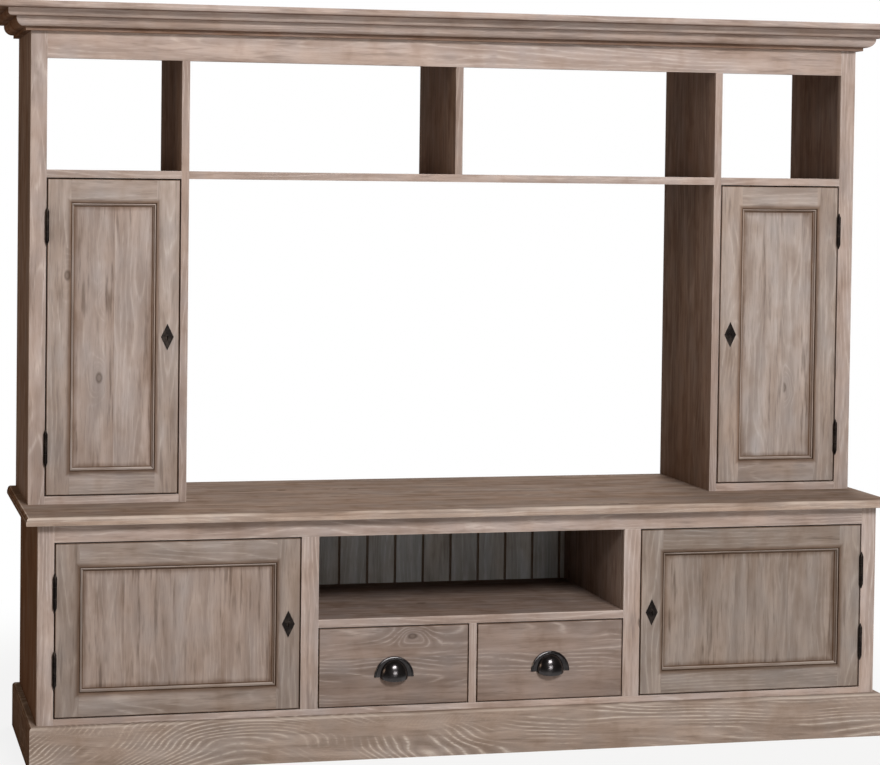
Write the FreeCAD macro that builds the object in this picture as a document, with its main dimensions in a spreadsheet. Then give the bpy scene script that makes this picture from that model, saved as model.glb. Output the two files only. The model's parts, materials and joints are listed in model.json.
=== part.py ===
"""Television wall cabinet: a low base cabinet with a hutch standing on its worktop.

Millimetres, +Z up, front towards -Y, +X to the right of a viewer in front.
The origin is on the floor, under the middle of the footprint's box.

The base has a face frame with two inset doors, an open niche lined with
tongue-and-groove boards and two dovetailed drawers. The hutch has two narrow
cupboards, an open bay for the television and a row of open compartments under
a stepped, mitred cornice. Doors are frame and flat panel with a planted bead,
hung on loose-pin butt hinges with finials and fitted with let-in locks.
"""
import FreeCAD, Part
import math
import os
import Sketcher

doc = FreeCAD.newDocument("television_cabinet")
sheet = doc.addObject("Spreadsheet::Sheet", "dims")

# Every size that can be chosen by itself, in millimetres.
SIZES = {
    # timber
    "board": 19.0,                  # sides, uprights, shelves, bottoms
    "frame_thick": 20.0,            # face frames, doors and drawer fronts
    "back_thick": 12.0,             # tongue-and-groove back boards
    # base cabinet
    "base_width": 2100.0,
    "wall_gap": 60.0,               # worktop's overhang behind, clears a skirting board
    "outer_stile": 38.0,
    "inner_stile": 42.5,
    "divider_stile": 19.0,
    "centre_bay": 766.0,
    "rail_above_plinth": 14.0,
    "door_opening": 412.5,
    "base_top_rail": 43.5,
    "drawer_opening": 193.5,
    "niche_shelf": 20.0,
    "shelf_arris": 3.0,
    "rail_hidden": 48.0,            # bottom rail's part behind the plinth
    "back_lift": 20.0,              # back boards stop short of the floor
    # worktop
    "worktop_depth": 560.0,
    "worktop_thick": 20.0,
    "worktop_over": 30.0,           # past the face frame and past each side
    "nosing_lip": 10.0,
    "nosing_quirk": 1.5,
    "nosing_radius": 8.0,
    "block_side": 24.0,
    "block_long": 70.0,
    "block_inset": 40.0,
    # plinth
    "plinth_high": 108.0,
    "plinth_thick": 18.0,
    "plinth_round": 8.0,
    # hutch
    "hutch_inset": 22.0,            # from the worktop's side edge
    "hutch_depth": 350.0,
    "hutch_stile": 39.0,
    "tv_bay": 1351.0,
    "tower_opening": 764.0,
    "upper_opening": 266.0,
    "top_rail": 63.5,
    # cornice, sizes out from the frame and up from its lower edge
    "cornice_high": 65.5,
    "cornice_lap": 46.5,
    "toe_out": 14.0,
    "toe_high": 8.0,
    "ovolo_in": 17.0,
    "ovolo_out": 38.0,
    "ovolo_top": 28.0,
    "ovolo_radius": 21.0,
    "band_foot": 32.0,
    "band_out": 59.0,
    "band_top": 50.0,
    "crown_out": 92.0,
    "edge_radius": 8.0,
    # loose shelves on battens
    "shelf_set_back": 40.0,
    "shelf_play": 0.5,
    "batten": 18.0,
    "batten_inset": 30.0,           # clear of the shelf's front and of the back boards
    # tongue-and-groove boards
    "lining_pitch": 74.7,
    "lining_shift": -4.9,           # one joint line's place beside the middle
    "lining_gap": 0.5,
    "lining_vee": 3.0,
    "tongue_long": 5.0,
    "tongue_thick": 4.0,
    "tongue_play": 0.2,
    # doors
    "door_gap": 3.0,
    "rail_wide": 56.0,
    "panel_thick": 6.0,
    "panel_back": 11.0,             # panel's face behind the frame's face
    "groove_deep": 10.0,
    "panel_play": 1.5,
    "panel_fit": 0.2,
    "bead_wide": 10.0,
    "bead_high": 9.0,
    "bead_flat": 3.0,
    "bead_edge": 1.0,
    # hinges
    "leaf_thick": 1.5,
    "leaf_play": 0.2,
    "leaf_deep": 17.0,
    "barrel_radius": 4.8,
    "barrel_gap": 0.4,
    "pin_radius": 2.4,
    "pin_play": 0.08,
    "hinge_long": 64.0,
    "end_knuckle": 18.0,
    "knuckle_play": 0.3,
    "finial_collar": 3.0,
    "finial_steeple": 11.0,
    "finial_tip": 1.0,
    "hinge_inset": 116.0,           # opening's end to hinge's middle
    # keyhole plates and locks
    "plate_wide": 31.0,
    "plate_high": 64.0,
    "plate_thick": 1.8,
    "collar_radius": 6.5,
    "collar_out": 2.0,
    "keyhole_radius": 2.4,
    "keyhole_slot": 2.2,
    "keyhole_drop": 7.0,
    "key_back_set": 28.0,
    "lock_wide": 38.0,
    "lock_high": 50.0,
    "lock_thick": 11.0,
    "bolt_long": 24.0,
    "bolt_thick": 7.0,
    "bolt_high": 14.0,
    "bolt_play": 0.3,
    "bolt_throw": 8.0,
    # drawers
    "drawer_gap": 2.5,
    "drawer_back_gap": 28.0,
    "drawer_side": 12.0,
    "drawer_top_gap": 19.2,         # sides stop short of the niche shelf
    "drawer_bottom": 6.0,
    "bottom_lift": 8.0,
    "bottom_groove": 5.0,
    "bottom_play": 0.2,
    "tail_long": 14.0,
    "tail_root": 20.0,
    "tail_tip": 27.0,
    "tail_count": 4.0,
    "runner_wide": 16.0,
    "runner_high": 6.0,
    "runner_play": 0.3,
    "kicker_play": 3.0,
    # cup pulls
    "pull_radius": 49.0,
    "pull_plate": 2.2,
    "pull_drop": 26.0,              # plate's straight edge below the drawer's middle
    "cup_half": 34.5,
    "cup_out": 23.0,
    "cup_lip": 9.0,
    "cup_wall": 2.0,
    # dowels that keep the hutch on the worktop
    "dowel_radius": 4.0,
    "dowel_long": 20.0,
    "dowel_play": 0.1,
    "dowel_side": 60.0,
    "dowel_end": 70.0,
}


class Size:
    """A length that carries both its number and the sheet formula it comes from."""

    def __init__(self, number, formula):
        self.number = float(number)
        self.formula = formula

    def __add__(self, other):
        other = as_size(other)
        return Size(self.number + other.number, f"({self.formula} + {other.formula})")

    def __sub__(self, other):
        other = as_size(other)
        return Size(self.number - other.number, f"({self.formula} - {other.formula})")

    def __mul__(self, other):
        other = as_size(other)
        return Size(self.number * other.number, f"({self.formula} * {other.formula})")

    def __truediv__(self, other):
        other = as_size(other)
        return Size(self.number / other.number, f"({self.formula} / {other.formula})")

    def __neg__(self):
        return Size(-self.number, f"(0 - {self.formula})")


def as_size(length):
    """Lets a plain zero or count stand beside the named sizes."""
    return length if isinstance(length, Size) else Size(length, f"{float(length)}")


def fill_sheet():
    """Writes the sizes into the sheet and returns them by name."""
    named = {}
    for row, (name, number) in enumerate(SIZES.items(), start=1):
        sheet.set(f"A{row}", name)
        sheet.set(f"B{row}", str(number))
        sheet.setAlias(f"B{row}", name)
        named[name] = Size(number, f"dims.{name}")
    doc.recompute()
    return named


class Named:
    """The named sizes as plain attributes."""

    def __init__(self, named):
        self.__dict__.update(named)


d = Named(fill_sheet())


# ---------------------------------------------------------------- shape helpers

def bind(piece, prop, length):
    piece.setExpression(prop, as_size(length).formula)


def place(piece, x, y, z):
    for axis, length in zip("xyz", (x, y, z)):
        bind(piece, f"Placement.Base.{axis}", length)


def block(x, y, z):
    """A square-edged piece between two faces along each axis."""
    piece = doc.addObject("Part::Box", "block")
    for prop, (low, high) in zip(("Length", "Width", "Height"), (x, y, z)):
        bind(piece, prop, as_size(high) - low)
    place(piece, x[0], y[0], z[0])
    return piece


TURNS = {
    "X": FreeCAD.Rotation(FreeCAD.Vector(0, 1, 0), 90),
    "Y": FreeCAD.Rotation(FreeCAD.Vector(1, 0, 0), -90),
    "Z": FreeCAD.Rotation(),
}


def rod(radius, axis, start, length):
    """A round bar from a start point along an axis."""
    piece = doc.addObject("Part::Cylinder", "rod")
    piece.Placement = FreeCAD.Placement(FreeCAD.Vector(), TURNS[axis])
    bind(piece, "Radius", radius)
    bind(piece, "Height", length)
    place(piece, *start)
    return piece


def cone(low_radius, high_radius, start, height):
    piece = doc.addObject("Part::Cone", "cone")
    bind(piece, "Radius1", low_radius)
    bind(piece, "Radius2", high_radius)
    bind(piece, "Height", height)
    place(piece, *start)
    return piece


def fuse(pieces):
    joined = doc.addObject("Part::MultiFuse", "joined")
    joined.Shapes = pieces
    joined.Refine = True
    return joined


def cut(piece, tools):
    cutter = tools[0] if len(tools) == 1 else fuse(tools)
    left = doc.addObject("Part::Cut", "cut")
    left.Base = piece
    left.Tool = cutter
    return left


def round_edges(piece, radius, wanted):
    """Rounds the straight edges whose middle point the test picks out."""
    doc.recompute()
    rounded = doc.addObject("Part::Fillet", "rounded")
    rounded.Base = piece
    rounded.Edges = [(number, radius.number, radius.number)
                     for number, edge in enumerate(piece.Shape.Edges, start=1) if wanted(edge.CenterOfMass)]
    return rounded


def common(first, second):
    shared = doc.addObject("Part::Common", "common")
    shared.Base = first
    shared.Tool = second
    return shared


def add_arc(sketch, start, end, radius, side):
    """An arc between two points; side +1 bulges to the right of the way from start to end."""
    chord = end - start
    rise = radius - math.sqrt(radius ** 2 - (chord.Length / 2) ** 2)
    outward = FreeCAD.Vector(chord.y, -chord.x, 0).normalize()
    middle = (start + end) * 0.5 + outward * rise * side
    return sketch.addGeometry(Part.Arc(start, middle, end), False)


def draw(sketch, corners):
    """Closes an outline through the corners and ties every corner to the sheet.

    A corner is (u, v), or (u, v, radius, side) when an arc leaves it.
    """
    points = [FreeCAD.Vector(as_size(c[0]).number, as_size(c[1]).number, 0) for c in corners]
    ends = []
    for index, corner in enumerate(corners):
        start = points[index]
        end = points[(index + 1) % len(points)]
        if len(corner) == 2:
            edge = sketch.addGeometry(Part.LineSegment(start, end), False)
        else:
            edge = add_arc(sketch, start, end, corner[2].number, corner[3])
            tie = sketch.addConstraint(Sketcher.Constraint("Radius", edge, corner[2].number))
            sketch.setExpression(f"Constraints[{tie}]", corner[2].formula)
        forward = sketch.Geometry[edge].StartPoint.distanceToPoint(start) < 1e-4
        ends.append((edge, (1, 2) if forward else (2, 1)))
    for index, corner in enumerate(corners):
        edge, (first, last) = ends[index]
        after, (next_first, _) = ends[(index + 1) % len(ends)]
        sketch.addConstraint(Sketcher.Constraint("Coincident", edge, last, after, next_first))
        for kind, length in (("DistanceX", corner[0]), ("DistanceY", corner[1])):
            length = as_size(length)
            tie = sketch.addConstraint(Sketcher.Constraint(kind, -1, 1, edge, first, length.number))
            sketch.setExpression(f"Constraints[{tie}]", length.formula)


PAD_AXIS = {"XY_Plane": "z", "XZ_Plane": "y", "YZ_Plane": "x"}


def prism(plane, corners, start, length):
    """A section drawn on a main plane and padded towards the plus side of its third axis."""
    body = doc.addObject("PartDesign::Body", "section")
    sketch = body.newObject("Sketcher::SketchObject", "outline")
    support = [f for f in body.Origin.OriginFeatures if f.Role == plane][0]
    sketch.AttachmentSupport = [(support, "")]
    sketch.MapMode = "FlatFace"
    draw(sketch, corners)
    pad = body.newObject("PartDesign::Pad", "run")
    pad.Profile = sketch
    pad.Reversed = plane == "XZ_Plane"
    bind(pad, "Length", length)
    bind(body, f"Placement.Base.{PAD_AXIS[plane]}", start)
    body.Tip = pad
    return body


def turned(corners, x, z):
    """A half section, (distance from the axis, Y), turned about an axis along Y."""
    body = doc.addObject("PartDesign::Body", "turned")
    sketch = body.newObject("Sketcher::SketchObject", "half_section")
    support = [f for f in body.Origin.OriginFeatures if f.Role == "XY_Plane"][0]
    sketch.AttachmentSupport = [(support, "")]
    sketch.MapMode = "FlatFace"
    draw(sketch, corners)
    turn = body.newObject("PartDesign::Revolution", "turn")
    turn.Profile = sketch
    turn.ReferenceAxis = (sketch, ["V_Axis"])
    turn.Angle = 360
    bind(body, "Placement.Base.x", x)
    bind(body, "Placement.Base.z", z)
    body.Tip = turn
    return body


NODES = {}


def node(name, pieces):
    """Registers one sub-part; several separate solids go into one compound."""
    if len(pieces) == 1:
        piece = pieces[0]
    else:
        piece = doc.addObject("Part::Compound", "group")
        piece.Links = pieces
    piece.Label = name
    NODES[name] = piece
    return piece


SIDES = {"left": -1, "right": 1}


def span(side, near, far):
    """A stretch of X between two distances from the middle, on either side."""
    near = as_size(near)
    far = as_size(far)
    return (near, far) if side > 0 else (-far, -near)


# ---------------------------------------------------------------- planes shared by the pieces

back = d.worktop_depth / 2
worktop_front = -back
base_front = worktop_front + d.worktop_over
base_frame_back = base_front + d.frame_thick
base_back = back - d.wall_gap
lining_front = base_back - d.back_thick
base_half = d.base_width / 2
side_inner = base_half - d.board
bay_half = d.centre_bay / 2
partition_outer = bay_half + d.board
inner_stile_edge = bay_half + d.inner_stile
outer_stile_edge = base_half - d.outer_stile
opening_floor = d.plinth_high + d.rail_above_plinth
opening_top = opening_floor + d.door_opening
base_height = opening_top + d.base_top_rail
drawer_top = opening_floor + d.drawer_opening
niche_floor = drawer_top + d.niche_shelf

worktop_top = base_height + d.worktop_thick
hutch_front = back - d.hutch_depth
hutch_frame_back = hutch_front + d.frame_thick
hutch_half = base_half + d.worktop_over - d.hutch_inset
hutch_side_inner = hutch_half - d.board
hutch_stile_edge = hutch_half - d.hutch_stile
tv_half = d.tv_bay / 2
upright_outer = tv_half + d.board
tower_floor = worktop_top + d.board
shelf_low = tower_floor + d.tower_opening
shelf_top = shelf_low + d.board
rail_low = shelf_top + d.upper_opening
cornice_low = rail_low + d.top_rail
hutch_top = cornice_low + d.cornice_lap


# ---------------------------------------------------------------- tongue-and-groove boards

def lining_board(x_low, x_high, y_low, z_low, high, first, last):
    """One upright board: tongue on its left edge, groove in its right, vees on the front."""
    y_high = y_low + d.back_thick
    tongue_low = y_low + (d.back_thick - d.tongue_thick) / 2
    tongue_high = tongue_low + d.tongue_thick
    groove_low = tongue_low - d.tongue_play
    groove_high = tongue_high + d.tongue_play
    groove_bed = x_high - d.tongue_long - d.tongue_play
    corners = [(x_low, y_high)]
    if not first:
        tip = x_low - d.tongue_long
        corners += [(x_low, tongue_high), (tip, tongue_high), (tip, tongue_low), (x_low, tongue_low)]
    corners += [(x_low, y_low + d.lining_vee), (x_low + d.lining_vee, y_low)]
    corners += [(x_high - d.lining_vee, y_low), (x_high, y_low + d.lining_vee)]
    if not last:
        corners += [(x_high, groove_low), (groove_bed, groove_low)]
        corners += [(groove_bed, groove_high), (x_high, groove_high)]
    corners += [(x_high, y_high)]
    return prism("XY_Plane", corners, z_low, high)


def lining(x_low, x_high, joint, y_low, z_low, z_high):
    """Boards side by side between two faces, with joint lines a pitch apart."""
    before = math.floor((joint.number - x_low.number) / d.lining_pitch.number)
    lines = []
    step = -before
    while (joint + d.lining_pitch * step).number < x_high.number:
        lines.append(joint + d.lining_pitch * step)
        step += 1
    narrow = d.tongue_long.number * 3
    lines = [line for line in lines if x_low.number + narrow < line.number < x_high.number - narrow]
    edges = [x_low] + lines + [x_high]
    boards = []
    for index in range(len(edges) - 1):
        first = index == 0
        last = index == len(edges) - 2
        low = edges[index] if first else edges[index] + d.lining_gap / 2
        high = edges[index + 1] if last else edges[index + 1] - d.lining_gap / 2
        boards.append(lining_board(low, high, y_low, z_low, z_high - z_low, first, last))
    return boards


# ---------------------------------------------------------------- mouldings round three sides

def moulding(profile, reach, half, front, rear, low, high):
    """A front run and two returns, mitred at the corners.

    profile lists (out, up) corners from the frame's face and from the lower edge.
    """
    section = [(front - c[0], low + c[1]) + tuple(c[2:]) for c in profile]
    front_plan = [(-half, front), (-half - reach, front - reach), (half + reach, front - reach), (half, front)]
    long_run = prism("YZ_Plane", section, -half - reach, (half + reach) * 2)
    pieces = [common(long_run, prism("XY_Plane", front_plan, low, high))]
    for side in SIDES.values():
        section = [((half + c[0]) * side, low + c[1]) + tuple(c[2:3]) + tuple(-side * k for k in c[3:]) for c in profile]
        plan = [(half * side, front), ((half + reach) * side, front - reach),
                ((half + reach) * side, rear), (half * side, rear)]
        run = prism("XZ_Plane", section, front - reach, rear - front + reach)
        pieces.append(common(run, prism("XY_Plane", plan, low, high)))
    return pieces


# ---------------------------------------------------------------- base cabinet

def build_base():
    sides = []
    stiles = []
    partitions = []
    for side in SIDES.values():
        sides.append(block(span(side, side_inner, base_half), (base_frame_back, base_back), (0, base_height)))
        stiles.append(block(span(side, outer_stile_edge, base_half),
                            (base_front, base_frame_back), (0, base_height)))
        stile = block(span(side, bay_half, inner_stile_edge),
                      (base_front, base_frame_back), (opening_floor, opening_top))
        stiles.append(cut(stile, [bolt_mortise(side, inner_stile_edge, base_frame_back,
                                               (opening_floor + opening_top) / 2)]))
        partitions.append(block(span(side, bay_half, partition_outer),
                                (base_frame_back, lining_front), (opening_floor, base_height)))
    half_divider = d.divider_stile / 2
    partitions.append(block((-half_divider, half_divider), (base_frame_back, lining_front),
                            (opening_floor, drawer_top)))
    stiles.append(block((-half_divider, half_divider), (base_front, base_frame_back), (opening_floor, drawer_top)))
    node("base_sides", sides)
    node("base_stiles", stiles)
    node("base_partitions", partitions)
    rail_floor = opening_floor - d.rail_above_plinth - d.rail_hidden
    node("base_rails", [block((-outer_stile_edge, outer_stile_edge), (base_front, base_frame_back), z)
                        for z in ((opening_top, base_height), (rail_floor, opening_floor))])
    node("base_bottom", [block((-side_inner, side_inner), (base_frame_back, lining_front),
                               (opening_floor - d.board, opening_floor))])
    shelf = block((-bay_half, bay_half), (base_front, lining_front), (drawer_top, niche_floor))
    node("niche_shelf", [round_edges(shelf, d.shelf_arris, lambda middle: abs(middle.y - base_front.number) < 1e-6
                                     and abs(middle.x) < 1e-6 and middle.z > drawer_top.number + 1)])
    bottom_under = opening_floor - d.board
    feet = [block((-side_inner, side_inner), (lining_front - d.board, lining_front), (0, bottom_under))]
    for side in SIDES.values():
        feet.append(block(span(side, bay_half, partition_outer),
                          (base_frame_back, lining_front - d.board), (0, bottom_under)))
    node("base_foot_rails", feet)
    node("base_back_boards", lining(-side_inner, side_inner, d.lining_shift, lining_front,
                                    d.back_lift, base_height))
    out = d.plinth_thick
    round_start = d.plinth_high - d.plinth_round
    plinth_profile = [(as_size(0), as_size(0)), (out, as_size(0)), (out, round_start, d.plinth_round, 1),
                      (out - d.plinth_round, d.plinth_high), (as_size(0), d.plinth_high)]
    node("plinth", moulding(plinth_profile, out, base_half, base_front, base_back, as_size(0), d.plinth_high))


def build_cupboard_insides():
    """A loose shelf on two battens in each base cupboard and two shelves in each tower."""
    shelves = []
    battens = []
    for side in SIDES.values():
        middle = (opening_floor + opening_top) / 2
        shelves += loose_shelf(side, partition_outer, side_inner, base_frame_back, lining_front, middle)
        battens += shelf_battens(side, partition_outer, side_inner, base_frame_back, lining_front, middle)
    for side in SIDES.values():
        for third in (1, 2):
            height = tower_floor + d.tower_opening * third / 3
            shelves += loose_shelf(side, upright_outer, hutch_side_inner, hutch_frame_back,
                                   back - d.back_thick, height)
            battens += shelf_battens(side, upright_outer, hutch_side_inner, hutch_frame_back,
                                     back - d.back_thick, height)
    node("loose_shelves", shelves)
    node("shelf_battens", battens)


def loose_shelf(side, near, far, front, rear, top):
    play = d.shelf_play
    return [block(span(side, near + play, far - play), (front + d.shelf_set_back, rear - play), (top - d.board, top))]


def shelf_battens(side, near, far, front, rear, top):
    start = front + d.shelf_set_back + d.batten_inset
    under = top - d.board
    return [block(span(side, low, low + d.batten), (start, rear - d.batten_inset), (under - d.batten, under))
            for low in (near, far - d.batten)]


def dowel_spots():
    """Two dowels under each tower, as (side, x, y)."""
    spots = []
    for side in SIDES.values():
        spots.append(((upright_outer + d.dowel_side) * side, hutch_frame_back + d.dowel_end))
        spots.append(((hutch_side_inner - d.dowel_side) * side, back - d.dowel_end))
    return spots


def dowel(x, y, radius, grow):
    half = d.dowel_long / 2 + grow
    return rod(radius, "Z", (x, y, worktop_top - half), half * 2)


def build_worktop():
    """One glued-up board: a square lip below, a rounded upper part set in by a quirk."""
    half = base_half + d.worktop_over
    quirk = d.nosing_quirk
    lip_top = base_height + d.nosing_lip
    lip = block((-half, half), (worktop_front, back), (base_height, lip_top))
    upper = block((-half + quirk, half - quirk), (worktop_front + quirk, back), (lip_top, worktop_top))
    rounded = round_edges(upper, d.nosing_radius, lambda middle: abs(middle.z - worktop_top.number) < 1e-6
                          and abs(middle.y - back.number) > 1e-6)
    whole = fuse([lip, rounded])
    holes = [dowel(x, y, d.dowel_radius + d.dowel_play, d.runner_play) for x, y in dowel_spots()]
    node("worktop", [cut(whole, holes)])
    node("hutch_dowels", [dowel(x, y, d.dowel_radius, as_size(0)) for x, y in dowel_spots()])
    blocks = []
    low = base_height - d.block_side
    ends = (base_frame_back + d.block_inset, lining_front - d.block_inset - d.block_long)
    for side in SIDES.values():
        for near in (side_inner - d.block_side, partition_outer):
            for start in ends:
                blocks.append(block(span(side, near, near + d.block_side), (start, start + d.block_long),
                                    (low, base_height)))
    node("worktop_blocks", blocks)


# ---------------------------------------------------------------- hutch

def build_hutch():
    sides = []
    stiles = []
    uprights = []
    bottoms = []
    shelves = [block((-tv_half, tv_half), (hutch_front, back), (shelf_low, shelf_top))]
    backs = []
    lock_height = (tower_floor + shelf_low) / 2
    for side in SIDES.values():
        sides.append(block(span(side, hutch_side_inner, hutch_half), (hutch_frame_back, back), (worktop_top, hutch_top)))
        stiles.append(block(span(side, hutch_stile_edge, hutch_half), (hutch_front, hutch_frame_back),
                            (worktop_top, hutch_top)))
        upright = upright_board(span(side, tv_half, upright_outer), worktop_top)
        uprights.append(cut(upright, [bolt_mortise(side, upright_outer, hutch_frame_back, lock_height)]))
        shelves.append(end_board(side, shelf_low))
        holes = [dowel(x, y, d.dowel_radius + d.dowel_play, d.runner_play)
                 for x, y in dowel_spots() if x.number * side > 0]
        bottoms.append(cut(end_board(side, worktop_top), holes))
        low, high = span(side, upright_outer, hutch_side_inner)
        joint = (upright_outer + d.lining_pitch) * side
        backs += lining(low, high, joint, back - d.back_thick, tower_floor, shelf_low)
    half_board = d.board / 2
    node("hutch_sides", sides)
    node("hutch_stiles", stiles)
    uprights.append(upright_board((-half_board, half_board), shelf_top))
    node("hutch_uprights", uprights)
    node("hutch_shelves", shelves)
    node("tower_bottoms", bottoms)
    node("tower_back_boards", backs)
    node("hutch_top_rail", [block((-hutch_stile_edge, hutch_stile_edge), (hutch_front, hutch_frame_back),
                                  (rail_low, hutch_top))])
    node("hutch_top_board", [block((-hutch_side_inner, hutch_side_inner), (hutch_frame_back, back),
                                   (hutch_top - d.board, hutch_top))])
    zero = as_size(0)
    profile = [
        (zero, zero), (d.toe_out, zero), (d.toe_out, d.toe_high),
        (d.ovolo_in, d.toe_high, d.ovolo_radius, 1),
        (d.ovolo_out, d.ovolo_top), (d.ovolo_out, d.band_foot),
        (d.band_out - d.edge_radius, d.band_foot, d.edge_radius, 1),
        (d.band_out, d.band_foot + d.edge_radius), (d.band_out, d.band_top),
        (d.crown_out - d.edge_radius, d.band_top, d.edge_radius, 1),
        (d.crown_out, d.band_top + d.edge_radius), (d.crown_out, d.cornice_high), (zero, d.cornice_high),
    ]
    node("cornice", moulding(profile, d.crown_out, hutch_half, hutch_front, back, cornice_low, d.cornice_high))


def upright_board(x, low):
    """A board whose front edge shows below the top rail and passes behind it above."""
    lower = block(x, (hutch_front, back), (low, rail_low))
    upper = block(x, (hutch_frame_back, back), (rail_low, hutch_top - d.board))
    return fuse([lower, upper])


def end_board(side, low):
    """A tower's floor or top: flush with the frame in front, notched round the stile."""
    front = block(span(side, upright_outer, hutch_stile_edge), (hutch_front, back), (low, low + d.board))
    behind = block(span(side, hutch_stile_edge, hutch_side_inner), (hutch_frame_back, back), (low, low + d.board))
    return fuse([front, behind])


# ---------------------------------------------------------------- doors

def keyhole(x, y, z):
    """A round hole with a slot below it, along Y from front to back."""
    low, high = y
    hole = rod(d.keyhole_radius, "Y", (x, low, z), high - low)
    slot = block((x - d.keyhole_slot / 2, x + d.keyhole_slot / 2), (low, high), (z - d.keyhole_drop, z))
    return [hole, slot]


def bolt_mortise(side, edge, frame_back, height):
    """The socket in the frame's edge that the thrown bolt enters."""
    middle = frame_back - d.lock_thick / 2
    half_thick = d.bolt_thick / 2 + d.bolt_play
    half_high = d.bolt_high / 2 + d.bolt_play
    deep = d.bolt_throw - d.door_gap + d.bolt_play * 2
    return block(span(side, edge - deep, edge + d.door_gap), (middle - half_thick, middle + half_thick),
                 (height - half_high, height + half_high))


def bead_run(plane, section, plan, start, length, y_low, y_high):
    """A bead length, cut to its mitres by a prism of its outline seen from the front."""
    return common(prism(plane, section, start, length), prism("XZ_Plane", plan, y_low, y_high - y_low))


def door_bead(x, z, panel_face):
    """Four mitred bead lengths round the panel, against the frame's inner edges."""
    (x_low, x_high), (z_low, z_high) = x, z
    wide = d.bead_wide
    top = panel_face - d.bead_high
    shoulder = panel_face - d.bead_edge

    def section(edge, way):
        """Corners across the bead as (distance along the face, Y)."""
        return [(edge, panel_face), (edge, top), (edge + d.bead_flat * way, top),
                (edge + wide * way, shoulder), (edge + wide * way, panel_face)]

    pieces = []
    for edge, way in ((z_low, 1), (z_high, -1)):
        inner = edge + wide * way
        plan = [(x_low, edge), (x_high, edge), (x_high - wide, inner), (x_low + wide, inner)]
        corners = [(y, along) for along, y in section(edge, way)]
        pieces.append(bead_run("YZ_Plane", corners, plan, x_low, x_high - x_low, top, panel_face))
    for edge, way in ((x_low, 1), (x_high, -1)):
        inner = edge + wide * way
        plan = [(edge, z_low), (edge, z_high), (inner, z_high - wide), (inner, z_low + wide)]
        pieces.append(bead_run("XY_Plane", section(edge, way), plan, z_low, z_high - z_low, top, panel_face))
    return pieces


def build_door(name, side, lock_edge, hinge_edge, floor, top, front):
    """An inset door: lock_edge and hinge_edge are the opening's distances from the middle."""
    rear = front + d.frame_thick
    hinge_gap = d.leaf_thick * 2 + d.leaf_play
    near = lock_edge + d.door_gap
    far = hinge_edge - hinge_gap
    low = floor + d.door_gap
    high = top - d.door_gap
    middle = (floor + top) / 2
    wide = d.rail_wide
    panel_face = front + d.panel_back
    groove = (panel_face - d.panel_fit, panel_face + d.panel_thick + d.panel_fit)
    lock_middle = rear - d.lock_thick / 2
    case_y = (rear - d.lock_thick, rear)
    case_z = (middle - d.lock_high / 2, middle + d.lock_high / 2)
    key_x = (near + d.key_back_set) * side

    lock_stile = cut(block(span(side, near, near + wide), (front, rear), (low, high)),
                     [block(span(side, near + wide - d.groove_deep, near + wide), groove, (low, high)),
                      block(span(side, near, near + d.lock_wide), case_y, case_z)]
                     + keyhole(key_x, (front, rear), middle))
    hinge_stile = cut(block(span(side, far - wide, far), (front, rear), (low, high)),
                      [block(span(side, far - wide, far - wide + d.groove_deep), groove, (low, high))])
    rails = []
    for start, way in ((low, 1), (high, -1)):
        end = start + wide * way
        bed = end - d.groove_deep * way
        rail_z = (start, end) if way > 0 else (end, start)
        slot_z = (bed, end) if way > 0 else (end, bed)
        tenon_z = (start, bed) if way > 0 else (bed, start)
        rail = cut(block(span(side, near + wide, far - wide), (front, rear), rail_z),
                   [block(span(side, near + wide, far - wide), groove, slot_z)])
        tenons = [block(span(side, near + wide - d.groove_deep, near + wide), groove, tenon_z),
                  block(span(side, far - wide, far - wide + d.groove_deep), groove, tenon_z)]
        rails.append(fuse([rail] + tenons))
    node(f"{name}_frame", [lock_stile, hinge_stile] + rails)

    tuck = d.groove_deep - d.panel_play
    node(f"{name}_panel", [block(span(side, near + wide - tuck, far - wide + tuck),
                                 (panel_face, panel_face + d.panel_thick),
                                 (low + wide - tuck, high - wide + tuck))])
    node(f"{name}_bead", door_bead(span(side, near + wide, far - wide), (low + wide, high - wide), panel_face))

    plate_y = (front - d.plate_thick, front)
    half_wide = d.plate_wide / 2
    half_high = d.plate_high / 2
    lozenge = [(key_x - half_wide, middle), (key_x, middle + half_high),
               (key_x + half_wide, middle), (key_x, middle - half_high)]
    plate = prism("XZ_Plane", lozenge, plate_y[0], d.plate_thick)
    collar_start = plate_y[0] - d.collar_out
    collar = rod(d.collar_radius, "Y", (key_x, collar_start, middle), d.collar_out + d.plate_thick)
    node(f"{name}_keyhole_plate", [cut(fuse([plate, collar]), keyhole(key_x, (collar_start, front), middle))])

    play = d.bolt_play
    case = block(span(side, near, near + d.lock_wide), case_y, case_z)
    way_y = (lock_middle - d.bolt_thick / 2 - play, lock_middle + d.bolt_thick / 2 + play)
    way_z = (middle - d.bolt_high / 2 - play, middle + d.bolt_high / 2 + play)
    bolt_way = block(span(side, near, near + d.bolt_long + play), way_y, way_z)
    case_hole = keyhole(key_x, (case_y[0], way_y[0]), middle)
    node(f"{name}_lock_case", [cut(case, [bolt_way] + case_hole)])
    node(f"{name}_lock_bolt", [block(span(side, near, near + d.bolt_long),
                                     (way_y[0] + play, way_y[1] - play), (way_z[0] + play, way_z[1] - play))])

    axis_x = (hinge_edge - hinge_gap / 2) * side
    axis_y = front - d.barrel_gap - d.barrel_radius
    frame_halves = []
    door_halves = []
    for height in (floor + d.hinge_inset, top - d.hinge_inset):
        frame_halves.append(frame_hinge_half(axis_x, axis_y, height, front, hinge_edge, side))
        door_halves.append(door_hinge_half(axis_x, axis_y, height, front, hinge_edge, side))
    node(f"{name}_hinge_leaves", door_halves)
    return frame_halves


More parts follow.
